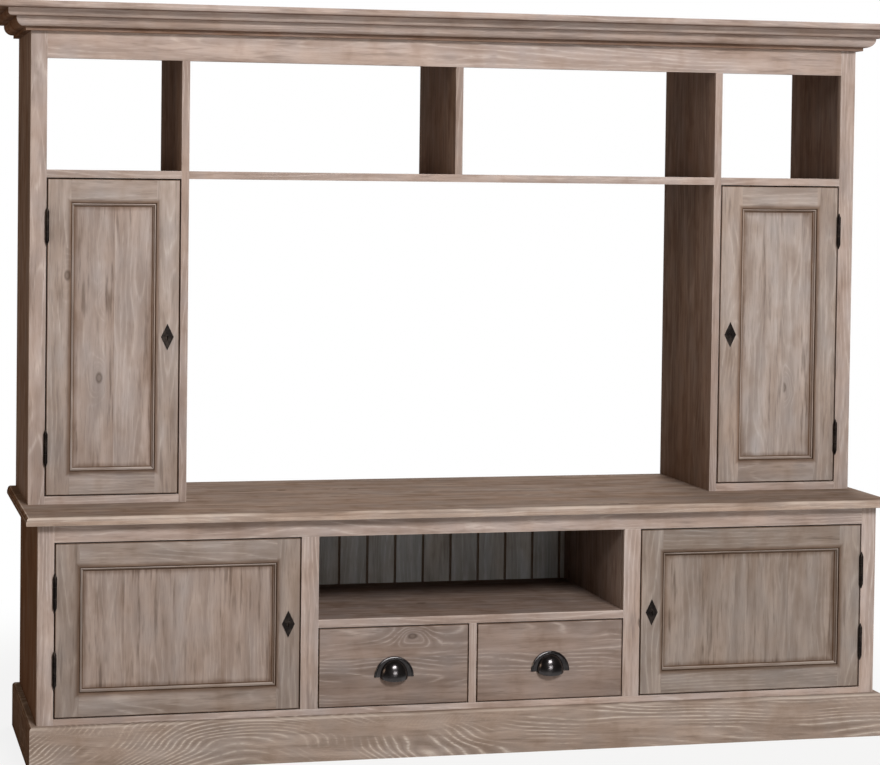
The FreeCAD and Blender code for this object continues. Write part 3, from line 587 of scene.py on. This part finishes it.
def gather(name, parts, material):
    """Joins bmeshes into one object at the origin."""
    whole = bmesh.new()
    for part in parts:
        scratch = bpy.data.meshes.new("scratch")
        part.to_mesh(scratch)
        part.free()
        whole.from_mesh(scratch)
        bpy.data.meshes.remove(scratch)
    mesh = bpy.data.meshes.new(name)
    whole.to_mesh(mesh)
    whole.free()
    mesh.shade_smooth()
    mesh.set_sharp_from_angle(angle=math.radians(32))
    mesh.materials.append(material)
    piece = bpy.data.objects.new(name, mesh)
    scene.collection.objects.link(piece)
    return piece


def stand_for(piece, node):
    """The piece rides with the node's body and is shown in its place."""
    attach(piece, body_of[node])
    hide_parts(node)


def dress(node, material, ease=0.8 * MM, along=None, stain_and_shade=None, inset=None, pale_edges=True, rim=None):
    """Eases every board of a node and shows them as one piece; inset is the box round which glazing and
    painted shade gather.
    """
    boards = boards_in(node)
    parts = [eased(board, ease, along, stain_and_shade, pale_edges, rim) for board in boards]
    piece = gather(f"{node}_boards", parts, material)
    if inset:
        mark_inset(piece, inset)
    stand_for(piece, node)
    return len(boards)


print("board helpers ready")

# %% [markdown]
# ## The carcase
# Frames, sides and shelves are all the same limed pine; sides and uprights get
# painted shade on their broad faces. Inner pieces that nobody waxes are plain pine.
# The worktop's top is a little darker, and its ends and the faces under its nosing
# get painted shade.

# %% Dress the carcase
made = 0
for node in ("base_bottom", "base_rails", "hutch_top_rail", "hutch_shelves", "hutch_top_board",
             "tower_bottoms"):
    made += dress(node, limed, along=X)
# Sides, partitions and uprights get painted shade on their broad faces.
for node, share in (("base_sides", 1.0), ("hutch_sides", 0.6), ("base_partitions", 0.45)):
    made += dress(node, limed, along=Z, stain_and_shade=shaded_sides(share))
made += dress("hutch_uprights", limed, along=Z, stain_and_shade=shaded_uprights)
for node in ("base_stiles", "hutch_stiles"):
    made += dress(node, limed, along=Z)
made += dress("niche_shelf", limed, along=X, stain_and_shade=darker_flats)
# Its ends and the faces under its nosing get painted shade.
made += dress("worktop", top_pine, 0.6 * MM, stain_and_shade=top_with_shaded_ends)
for node in ("base_back_boards", "tower_back_boards"):
    made += dress(node, lining_pine, 0.0, Z, stained_vees)
for node in ("loose_shelves", "shelf_battens"):
    made += dress(node, limed, stain_and_shade=darker_flats)
for node in ("base_foot_rails", "worktop_blocks", "drawer_runners"):
    made += dress(node, plain_pine)
print("carcase boards:", made)

# %% [markdown]
# ## Doors and drawers
# A door is four frame pieces round a panel whose grain runs upright, also in
# the wide doors. Door edges are eased a little more, because hands use them.

# %% Dress the doors and drawers
HAND_EASE = 1.4 * MM
made = 0
# Door frames and drawer fronts get dark arrises: painted shade of the gap beside them.
for door in DOOR_TINTS:
    made += dress(f"{door}_frame", frame_pine[door], HAND_EASE,
                  inset=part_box(f"{door}_bead"), pale_edges=False, rim=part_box(f"{door}_frame"))
    made += dress(f"{door}_panel", panel_pine[door], 0.0, Z,
                  inset=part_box(f"{door}_panel"))
for hand in ("left", "right"):
    made += dress(f"drawer_front_{hand}", drawer_pine, HAND_EASE, X, pale_edges=False)
    made += dress(f"drawer_box_{hand}", plain_pine)
print("door and drawer boards:", made)

# %% [markdown]
# ## Mouldings by rule
# A moulding is one profile pushed along a path, and at each corner it is cut
# on the mitre. The rule is short: a profile point that stands p out from the
# path lands at corner + p times the mitre direction, where the mitre
# direction is the sum of the two walls' outward directions. Geometry Nodes
# sweeps the profile, and a Set Position node applies the rule.

# %% Build the moulding tree
def line_object(name, points, layers, cyclic):
    """A polyline mesh whose points carry vectors for the tree."""
    mesh = bpy.data.meshes.new(name)
    edges = [(i, i + 1) for i in range(len(points) - 1)]
    if cyclic:
        edges.append((len(points) - 1, 0))
    mesh.from_pydata(points, edges, [])
    for layer, vectors in layers.items():
        data = mesh.attributes.new(layer, "FLOAT_VECTOR", "POINT")
        for item, vector in zip(data.data, vectors):
            item.vector = vector
    piece = bpy.data.objects.new(name, mesh)
    scene.collection.objects.link(piece)
    return piece


def shape_tree(name, inputs):
    """A Geometry Nodes tree with the named inputs, its node adder and each input's identifier."""
    tree = bpy.data.node_groups.new(name, "GeometryNodeTree")
    identifiers = {}
    for label, kind in inputs.items():
        socket = tree.interface.new_socket(label, in_out="INPUT", socket_type=f"NodeSocket{kind}")
        identifiers[label] = socket.identifier
    tree.interface.new_socket("Shape", in_out="OUTPUT", socket_type="NodeSocketGeometry")

    def add(kind, links=None, **settings):
        """Adds a node and returns it: its type, the values or links of its sockets, its settings."""
        node = tree.nodes.new(kind)
        for key, value in settings.items():
            setattr(node, key, value)
        for key, value in (links or {}).items():
            if isinstance(value, bpy.types.Node):
                value = value.outputs[0]
            if isinstance(value, bpy.types.NodeSocket):
                tree.links.new(value, node.inputs[key])
            else:
                node.inputs[key].default_value = value
        return node
    return tree, add, identifiers


def moulding_tree():
    tree, add, identifiers = shape_tree("run_moulding", {"Path": "Geometry", "Profile": "Object",
                                                         "Finish": "Material"})

    def stored(name):
        return add("GeometryNodeInputNamedAttribute", {"Name": name}, data_type="FLOAT_VECTOR")

    start = add("NodeGroupInput")
    path = add("GeometryNodeMeshToCurve", {"Mesh": start.outputs["Path"]})
    info = add("GeometryNodeObjectInfo", {"Object": start.outputs["Profile"]})
    outline = add("GeometryNodeMeshToCurve", {"Mesh": info.outputs["Geometry"]})
    sweep = add("GeometryNodeCurveToMesh", {"Curve": path, "Profile Curve": outline, "Fill Caps": True})
    parts = add("ShaderNodeSeparateXYZ", {0: stored("shape")})
    out = add("ShaderNodeVectorMath", {0: stored("mitre"), "Scale": parts.outputs["X"]}, operation="SCALE")
    above = add("ShaderNodeVectorMath", {0: stored("rise"), "Scale": parts.outputs["Y"]}, operation="SCALE")
    first = add("ShaderNodeVectorMath", {0: stored("corner"), 1: out}, operation="ADD")
    both = add("ShaderNodeVectorMath", {0: first, 1: above}, operation="ADD")
    moved = add("GeometryNodeSetPosition", {"Geometry": sweep, "Position": both})
    real = add("GeometryNodeRealizeInstances", {"Geometry": moved})
    painted = add("GeometryNodeSetMaterial", {"Geometry": real, "Material": start.outputs["Finish"]})
    add("NodeGroupOutput", {0: painted})
    return tree, identifiers


MOULDING_TREE, MOULDING_INPUT = moulding_tree()
print("moulding tree:", len(MOULDING_TREE.nodes), "nodes")

# %% Run a moulding
def arc(start, end, radius, side, steps=6):
    """Points on an arc between two profile points; side 1 bulges to the right."""
    start, end = Vector(start), Vector(end)
    chord = end - start
    middle = (start + end) / 2
    normal = Vector((chord.y, -chord.x)).normalized() * side
    centre = middle - normal * math.sqrt(radius ** 2 - (chord.length / 2) ** 2)
    first = start - centre
    angle = first.angle_signed(end - centre)
    turns = [Matrix.Rotation(-angle * step / steps, 2) for step in range(1, steps + 1)]
    return [tuple(centre + spin @ first) for spin in turns]


def in_mm(*points):
    """Profile points written in millimetres."""
    return [(out * MM, up * MM) for out, up in points]


def run_moulding(name, profile, corners, mitres, rise, material, cyclic=False):
    """Sweeps a (projection, height) profile along corners and returns the moulding as a bmesh."""
    layers = {"corner": corners, "mitre": mitres, "rise": [rise] * len(corners)}
    path = line_object(name, corners, layers, cyclic)
    flat = [(p, h, 0) for p, h in profile]
    outline = line_object(f"{name}_profile", flat, {"shape": flat}, True)
    modifier = path.modifiers.new("run", "NODES")
    modifier.node_group = MOULDING_TREE
    modifier[MOULDING_INPUT["Profile"]] = outline
    modifier[MOULDING_INPUT["Finish"]] = material
    bpy.context.view_layer.update()
    ready = path.evaluated_get(bpy.context.evaluated_depsgraph_get())
    mesh = bpy.data.meshes.new_from_object(ready)
    bm = bmesh.new()
    bm.from_mesh(mesh)
    for layer in (*layers, "shape"):
        if layer in bm.verts.layers.float_vector:
            bm.verts.layers.float_vector.remove(bm.verts.layers.float_vector[layer])
    bmesh.ops.remove_doubles(bm, verts=bm.verts, dist=MERGE)
    bmesh.ops.recalc_face_normals(bm, faces=bm.faces)
    bpy.data.objects.remove(path)
    bpy.data.objects.remove(outline)
    return bm


def lay_run_grain(bm, runs, stain_and_shade):
    """Gives each face the grain of the run it belongs to; runs is a list of (test, axis)."""
    grain, pale_wear_and_highlight, glaze_and_shade = paint_layers(bm)
    low, high = corners_of([v.co for v in bm.verts])
    places = [(test, log_place(low, high, axis)) for test, axis in runs]
    for face in bm.faces:
        middle = face.calc_center_median()
        place = next(place for test, place in places if test(middle))
        dark = stain_and_shade(face)
        for loop in face.loops:
            loop[grain] = place(loop.vert.co)
            # Upward rounds get a painted highlight, and the rule passed in gives glazing and painted shade.
            loop[pale_wear_and_highlight] = float(highlighted_round(face))
            loop[glaze_and_shade] = dark
    return bm


quarter = arc((0, 0), (1, 1), 1, 1, 3)
print("a quarter-round in three steps:", [tuple(round(c, 2) for c in point) for point in quarter])

# %% [markdown]
# ## Cornice and plinth
# Above a small toe the cornice steps out in three: a big quarter-round, a
# round-nosed band and a round-nosed crown. The plinth is a plain board whose
# top edge is rounded over. Both run round the front and back along the sides.

# %% Rules for a run round three sides
def three_sides(half, front, rear, low):
    """The corners of the wall line and the mitre direction at each."""
    corners = [(-half, rear, low), (-half, front, low), (half, front, low), (half, rear, low)]
    mitres = [(-1, 0, 0), (-1, -1, 0), (1, -1, 0), (1, 0, 0)]
    return corners, mitres


def front_or_side(half, front):
    """Tests that sort faces into the front run and the two returns, at the mitre lines."""
    def in_front(middle):
        return front - middle.y > abs(middle.x) - half
    return [(in_front, X), (lambda middle: middle.x < 0, Y), (lambda middle: True, Y)]


def shaded_returns(runs, share, toe=0.0):
    """Painted shade: returns are darkened like the cabinet's sides; in front only the toe and the undersides
    of the steps are.
    """
    in_front = runs[0][0]

    def stain_and_shade(face):
        middle = face.calc_center_median()
        if not in_front(middle):
            return 0.0 if face.normal.z > 0.9 else share
        if middle.z < toe:
            return 0.8
        return 0.55 if face.normal.z < -0.9 else 0.0
    return stain_and_shade


def run_round(node, profile, half, front, rear, low, material, share, toe=0.0):
    """Runs a moulding round the front and the sides and shows it in the node's place."""
    corners, mitres = three_sides(half, front, rear, low)
    bm = run_moulding(f"{node}_run", profile, corners, mitres, (0, 0, 1), material)
    runs = front_or_side(half, front)
    part = lay_run_grain(bm, runs, shaded_returns(runs, share, toe))
    stand_for(gather(f"{node}_moulding", [part], material), node)


print("run rules ready")

# %% Cornice
cornice_low, cornice_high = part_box("cornice")
_, hutch_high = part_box("hutch_sides")
stile_low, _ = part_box("hutch_stiles")
reach = -cornice_low.x - hutch_high.x
tall = cornice_high.z - cornice_low.z
band_nose = 8 * MM
profile = in_mm((0, 0), (14, 0), (14, 8), (17, 8))
profile += arc(profile[-1], (38 * MM, 28 * MM), 21 * MM, 1, 8)
profile += in_mm((38, 32), (51, 32))
profile += arc(profile[-1], (59 * MM, 40 * MM), band_nose, 1, 5)
profile += in_mm((59, 50), (84, 50))
profile += arc(profile[-1], (reach, 58 * MM), band_nose, 1, 5)
profile += [(reach, tall), (0, tall)]
# Its returns, its toe and the undersides of its steps get painted shade.
run_round("cornice", profile, hutch_high.x, stile_low.y, cornice_high.y, cornice_low.z, cornice_pine,
          share=0.95, toe=cornice_low.z + 9 * MM)
print("cornice projects", round(reach * 1000, 1), "mm and is", round(tall * 1000, 1), "mm high")

# %% Plinth
plinth_low, plinth_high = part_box("plinth")
_, base_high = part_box("base_sides")
front_low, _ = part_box("base_stiles")
thick = front_low.y - plinth_low.y
over = 8 * MM
profile = [(0, 0), (thick, 0), (thick, plinth_high.z - over)]
profile += arc(profile[-1], (thick - over, plinth_high.z), over, 1)
profile += [(0, plinth_high.z)]
# Its returns get painted shade.
run_round("plinth", profile, base_high.x, front_low.y, plinth_high.y, 0.0, plinth_pine, share=0.8)
print("plinth is", round(thick * 1000, 1), "mm thick")

# %% [markdown]
# ## Panel beads
# A small sloped bead is planted round each panel and hides the groove. The
# same tree runs it round a closed path, with mitres that point inwards.

# %% Beads
BEAD = 10 * MM
QUIRK_OUTSIDE, QUIRK_INSIDE = 2.2 * MM, 1.9 * MM


def bead_profile(stand):
    """A quirk against the frame, a small fillet, a hollow slope and a foot on the panel."""
    profile = [(0, 0), (0, stand - 3 * MM), (1.8 * MM, stand - 3 * MM), (2.3 * MM, stand - 0.4 * MM)]
    profile += [(3 * MM, stand), (4.6 * MM, stand)]
    profile += arc(profile[-1], (8.2 * MM, 2.6 * MM), 7 * MM, 1)
    return profile + [(8.4 * MM, 0.8 * MM), (BEAD, 0.7 * MM), (BEAD, 0)]


def bead(door):
    low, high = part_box(f"{door}_bead")
    back = high.y
    corners = [(low.x, back, low.z), (high.x, back, low.z), (high.x, back, high.z), (low.x, back, high.z)]
    mitres = [(1, 0, 1), (-1, 0, 1), (-1, 0, -1), (1, 0, -1)]
    material = bead_pine[door]
    bm = run_moulding(f"{door}_bead_run", bead_profile(back - low.y), corners, mitres, (0, -1, 0), material,
                      cyclic=True)

    def from_sides(point):
        """How far a point lies inside the bead's outer line, sideways and up and down."""
        return min(point.x - low.x, high.x - point.x), min(point.z - low.z, high.z - point.z)

    def upright(middle):
        sideways, upwards = from_sides(middle)
        return sideways < upwards

    def shaded_quirks(face):
        """Glazing and painted shade settle in the quirks against the frame and the panel; faces that turn
        left or down get painted shade, and the rest a trace.
        """
        inward = min(from_sides(face.calc_center_median()))
        if inward < QUIRK_OUTSIDE or inward > BEAD - QUIRK_INSIDE:
            return 1.0
        return 0.5 if face.normal.x < -0.25 or face.normal.z < -0.25 else 0.1
    part = lay_run_grain(bm, [(upright, Z), (lambda middle: True, X)], shaded_quirks)
    stand_for(gather(f"{door}_bead_moulding", [part], material), f"{door}_bead")


for door in DOOR_TINTS:
    bead(door)
print("beads:", len(DOOR_TINTS))

# %% [markdown]
# ## Cup pulls
# A cup pull is cast in one: a half-round flange with a raised rim, and a dome
# that is open below for the fingers. The dome is a lathe shape, so a quarter
# of an ellipse is spun all round an axis that stands out from the drawer, and
# one sloping cut opens the mouth. Its upper half is then drawn up a little,
# and a small round takes the edge off the lip.

# %% Turn a shell
ON_AXIS = 1e-9


def turned_shell(curve, centre, turn, steps):
    """Spins a closed (radius, out) section about the Y axis; a full turn closes on itself."""
    bm = bmesh.new()
    whole = turn > 2 * math.pi - MERGE
    rings = []
    for step in range(steps if whole else steps + 1):
        angle = turn * step / steps
        cos, sin = math.cos(angle), math.sin(angle)
        points = [(centre[0] + r * cos, centre[1] - out, centre[2] + r * sin) for r, out in curve]
        rings.append([bm.verts.new(point) for point in points])
    following = rings[1:] + (rings[:1] if whole else [])
    for ring, after in zip(rings, following):
        for i, (radius, _) in enumerate(curve):
            j = (i + 1) % len(curve)
            if radius > ON_AXIS or curve[j][0] > ON_AXIS:
                bm.faces.new((ring[i], ring[j], after[j], after[i]))
    if not whole:
        bm.faces.new(rings[0])
        bm.faces.new(list(reversed(rings[-1])))
    bmesh.ops.remove_doubles(bm, verts=bm.verts, dist=MERGE)
    bmesh.ops.recalc_face_normals(bm, faces=bm.faces)
    return bm


print("a shell can be turned")

# %% Cast the cup pulls
CUP = 34.5 * MM
WALL_SIDE, WALL_FRONT = 2.2 * MM, 2 * MM
MOUTH_OUT, MOUTH_DOWN = 9.0, 23.0
DRAWN_UP = 0.22
LIP_ANGLE = 0.9
LIP_ROUND = 0.6 * MM


def quarter_ellipse(radius, out):
    """A quarter of an ellipse from its foot to the axis."""
    angles = [math.pi / 2 * step / 14 for step in range(14)]
    return [(radius * math.cos(t), out * math.sin(t)) for t in angles] + [(0.0, out)]


def cup_pull(hand):
    low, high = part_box(f"cup_pull_{hand}")
    half = (high.x - low.x) / 2
    out = high.y - low.y
    centre = ((low.x + high.x) / 2, high.y, high.z - half)
    rim = [(half, 0), (half, 2 * MM), (half - 1 * MM, 3.2 * MM), (half - 3.4 * MM, 3.6 * MM)]
    rim += [(half - 5 * MM, 2.4 * MM), (CUP - 1 * MM, 2.2 * MM), (CUP - 2 * MM, 0)]
    flange = turned_shell(rim, centre, math.pi, 48)
    outer = quarter_ellipse(CUP, out)
    inner = quarter_ellipse(CUP - WALL_SIDE, out - WALL_FRONT)
    dome = turned_shell(outer + inner[::-1], centre, 2 * math.pi, 72)
    mouth = Vector((0, MOUTH_OUT, -MOUTH_DOWN)).normalized()
    bmesh.ops.bisect_plane(dome, geom=dome.verts[:] + dome.edges[:] + dome.faces[:],
                           plane_co=centre, plane_no=mouth, clear_outer=True)
    bmesh.ops.holes_fill(dome, edges=[e for e in dome.edges if e.is_boundary])
    bmesh.ops.recalc_face_normals(dome, faces=dome.faces)
    for vertex in dome.verts:
        vertex.co.z += max(0.0, vertex.co.z - centre[2]) * DRAWN_UP
    lip = [e for e in dome.edges if len(e.link_faces) == 2 and e.calc_face_angle(0) > LIP_ANGLE
           and (e.verts[0].co.y + e.verts[1].co.y) / 2 < high.y - 3 * MM]
    bmesh.ops.bevel(dome, geom=lip, offset=LIP_ROUND, segments=2, profile=0.5, affect="EDGES",
                    clamp_overlap=True)
    piece = gather(f"cup_pull_{hand}_casting", [flange, dome], iron)
    stand_for(piece, f"cup_pull_{hand}")
    return piece


for hand in ("left", "right"):
    piece = cup_pull(hand)
    print(piece.name, len(piece.data.polygons), "faces")

# %% [markdown]
# ## Small ironwork
# Hinges, keyhole plates and locks are already the right shape in the
# construction model, so they stay and only take their finish. The dowels that
# hold the hutch are plain wood.

# %% Finish the ironwork
def refinish(node, material):
    """Gives a node of the construction model another material."""
    mesh = frame["nodes"][node].data
    mesh.materials.clear()
    mesh.materials.append(material)


for door in DOOR_TINTS:
    refinish(f"{door}_hinge_leaves", rough_iron)
    refinish(f"{door}_keyhole_plate", rough_iron)
    refinish(f"{door}_lock_case", steel)
    refinish(f"{door}_lock_bolt", steel)
refinish("frame_hinge_leaves", rough_iron)
print("dowels:", dress("hutch_dowels", plain_pine, 0.0))

# %% [markdown]
# ## Nails in the back
# The lining boards are nailed to the rails from behind, one nail in each
# board at three heights. Geometry Nodes lays the rows out as a grid of points
# and puts a small domed head on each.

# %% Nail the back boards
NAILS_IN_A_ROW = 27
ROWS = 3
PITCH = 74.7 * MM
SET_ASIDE = 4.9 * MM
FROM_EDGE = 10 * MM
FACES_ON_A_HEAD = 80


def nail_tree():
    tree, add, identifiers = shape_tree("nail_rows", {
        "Pitch": "Float", "Row height": "Float", "Nails in a row": "Int", "Rows": "Int",
        "Head radius": "Float", "Finish": "Material"})
    start = add("NodeGroupInput")
    given = start.outputs
    across = add("ShaderNodeCombineXYZ", {0: given["Pitch"]})
    upwards = add("ShaderNodeCombineXYZ", {2: given["Row height"]})
    row = add("GeometryNodeMeshLine", {"Count": given["Nails in a row"], "Offset": across}, mode="OFFSET")
    column = add("GeometryNodeMeshLine", {"Count": given["Rows"], "Offset": upwards}, mode="OFFSET")
    head = add("GeometryNodeMeshIcoSphere", {"Radius": given["Head radius"], "Subdivisions": 2})
    flat = add("GeometryNodeTransform", {"Geometry": head, "Scale": (1.0, 0.35, 1.0)})
    rows = add("GeometryNodeInstanceOnPoints", {"Points": column, "Instance": row})
    points = add("GeometryNodeRealizeInstances", {"Geometry": rows})
    nails = add("GeometryNodeInstanceOnPoints", {"Points": points, "Instance": flat})
    real = add("GeometryNodeRealizeInstances", {"Geometry": nails})
    painted = add("GeometryNodeSetMaterial", {"Geometry": real, "Material": given["Finish"]})
    add("NodeGroupOutput", {0: painted})
    return tree, identifiers


NAIL_TREE, NAIL_INPUT = nail_tree()
_, back_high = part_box("base_back_boards")
_, bottom_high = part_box("base_bottom")
lowest = bottom_high.z - FROM_EDGE
anchor = bpy.data.objects.new("back_nails_run", bpy.data.meshes.new("back_nails_run"))
scene.collection.objects.link(anchor)
modifier = anchor.modifiers.new("nails", "NODES")
modifier.node_group = NAIL_TREE
modifier[NAIL_INPUT["Pitch"]] = PITCH
modifier[NAIL_INPUT["Row height"]] = (back_high.z - FROM_EDGE - lowest) / 2
modifier[NAIL_INPUT["Nails in a row"]] = NAILS_IN_A_ROW
modifier[NAIL_INPUT["Rows"]] = ROWS
modifier[NAIL_INPUT["Head radius"]] = 2.2 * MM
modifier[NAIL_INPUT["Finish"]] = steel
bpy.context.view_layer.update()
mesh = bpy.data.meshes.new_from_object(anchor.evaluated_get(bpy.context.evaluated_depsgraph_get()))
bpy.data.objects.remove(anchor)
leftmost = PITCH / 2 - (NAILS_IN_A_ROW // 2) * PITCH - SET_ASIDE
mesh.transform(Matrix.Translation((leftmost, back_high.y, lowest)))
nails = bpy.data.objects.new("back_nails", mesh)
scene.collection.objects.link(nails)
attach(nails, "carcase")
print("nail heads:", len(mesh.polygons) // FACES_ON_A_HEAD)

# %% [markdown]
# ## Floor, light and background
# A pale floor and a white room. One big soft lamp stands high in front and a
# little to the right, so fronts are bright, tops are dimmer and left-hand
# faces fall dark. A weaker one stands low and reaches into the niche, and a
# third and a fourth light the back and the left side, so the cabinet reads well
# from all around. The room itself gives a weak, slightly warm fill and is
# plain white only to the camera. Reflections see it dim, above a floor that is
# pale near the cabinet only, so the pulls are dark on top and bright below.

# %% Floor
WIDE = 30.0
SHADOW_FADES = (1.2, 2.1)
MIRROR_FADES = (0.9, 1.6)
NEAR_WHITE = 0.86
floor_mesh = bpy.data.meshes.new("floor")
floor_corners = [(-WIDE, -WIDE, 0), (WIDE, -WIDE, 0), (WIDE, WIDE, 0), (-WIDE, WIDE, 0)]
floor_mesh.from_pydata(floor_corners, [], [(0, 1, 2, 3)])
floor = bpy.data.objects.new("floor", floor_mesh)
scene.collection.objects.link(floor)
floor_finish = Finish("pale_floor")
floor_finish.paint(Base_Color=rgb(0.56, 0.54, 0.52), Roughness=0.8, Specular_IOR_Level=0.1)
rays = floor_finish.add("ShaderNodeLightPath", {}, {}, "Is Camera Ray")
length = {"operation": "LENGTH"}
from_middle = floor_finish.add("ShaderNodeVectorMath", length, [floor_finish.place], "Value")
mirrored = rays.sibling("Is Glossy Ray")
whiten = rays.math("MAXIMUM", mirrored) * (from_middle.clamp(*SHADOW_FADES) * (1 - NEAR_WHITE) + NEAR_WHITE)
dimmed = mirrored * (from_middle.clamp(*MIRROR_FADES) * 0.9)
white = floor_finish.add("ShaderNodeEmission", {}, {"Color": rgb(1, 1, 1), "Strength": 1.0})
black = floor_finish.add("ShaderNodeEmission", {}, {"Color": rgb(0, 0, 0), "Strength": 1.0})
lit = Amount(floor_finish, floor_finish.shader.outputs[0])
pale = floor_finish.add("ShaderNodeMixShader", {}, [whiten, lit, white])
blended = floor_finish.add("ShaderNodeMixShader", {}, [dimmed, pale, black])
floor_finish.tree.links.new(blended.socket, floor_finish.tree.nodes["Material Output"].inputs["Surface"])
floor_mesh.materials.append(floor_finish.material)
print("floor reaches", WIDE, "m each way")

# %% Light
FILL = 0.14
FILL_TINT = rgb(1.0, 0.77, 0.59)
MIRROR_DIM = 0.75
world = bpy.data.worlds.new("white_room")
world.use_nodes = True
scene.world = world
room = Graph(world.node_tree)
backdrop = room.tree.nodes["Background"]
paths = room.add("ShaderNodeLightPath", {}, {}, "Is Camera Ray")
seen = paths.math("MAXIMUM", paths.sibling("Is Transmission Ray"))
dimmed = paths.sibling("Is Glossy Ray") * (FILL * MIRROR_DIM)
room.tree.links.new((seen * (1.0 - FILL) + FILL - dimmed).socket, backdrop.inputs["Strength"])
room.tree.links.new(room.mix(seen, FILL_TINT, rgb(1, 1, 1)).socket, backdrop.inputs["Color"])


def soft_lamp(name, place, target, size, power, color=(1.0, 1.0, 1.0)):
    """A rectangular lamp at a place that looks at a target."""
    lamp = bpy.data.objects.new(name, bpy.data.lights.new(name, "AREA"))
    lamp.data.shape = "RECTANGLE"
    lamp.data.size, lamp.data.size_y = size
    lamp.data.energy = power
    lamp.data.color = color
    lamp.location = place
    lamp.rotation_euler = (Vector(target) - Vector(place)).to_track_quat("-Z", "Y").to_euler()
    scene.collection.objects.link(lamp)


soft_lamp("key", (0.9, -7.4, 5.2), (0.0, -0.2, 1.0), (2.6, 1.8), 600)
soft_lamp("front", (1.1, -7.8, 1.2), (0.0, 0.0, 0.8), (2.2, 1.3), 125)
soft_lamp("back", (2.4, 6.0, 3.4), (0.0, 0.2, 0.9), (2.4, 1.6), 330)
soft_lamp("left", (-6.5, -1.0, 2.2), (0.0, -0.2, 1.0), (2.0, 1.6), 45, (1.0, 0.74, 0.52))
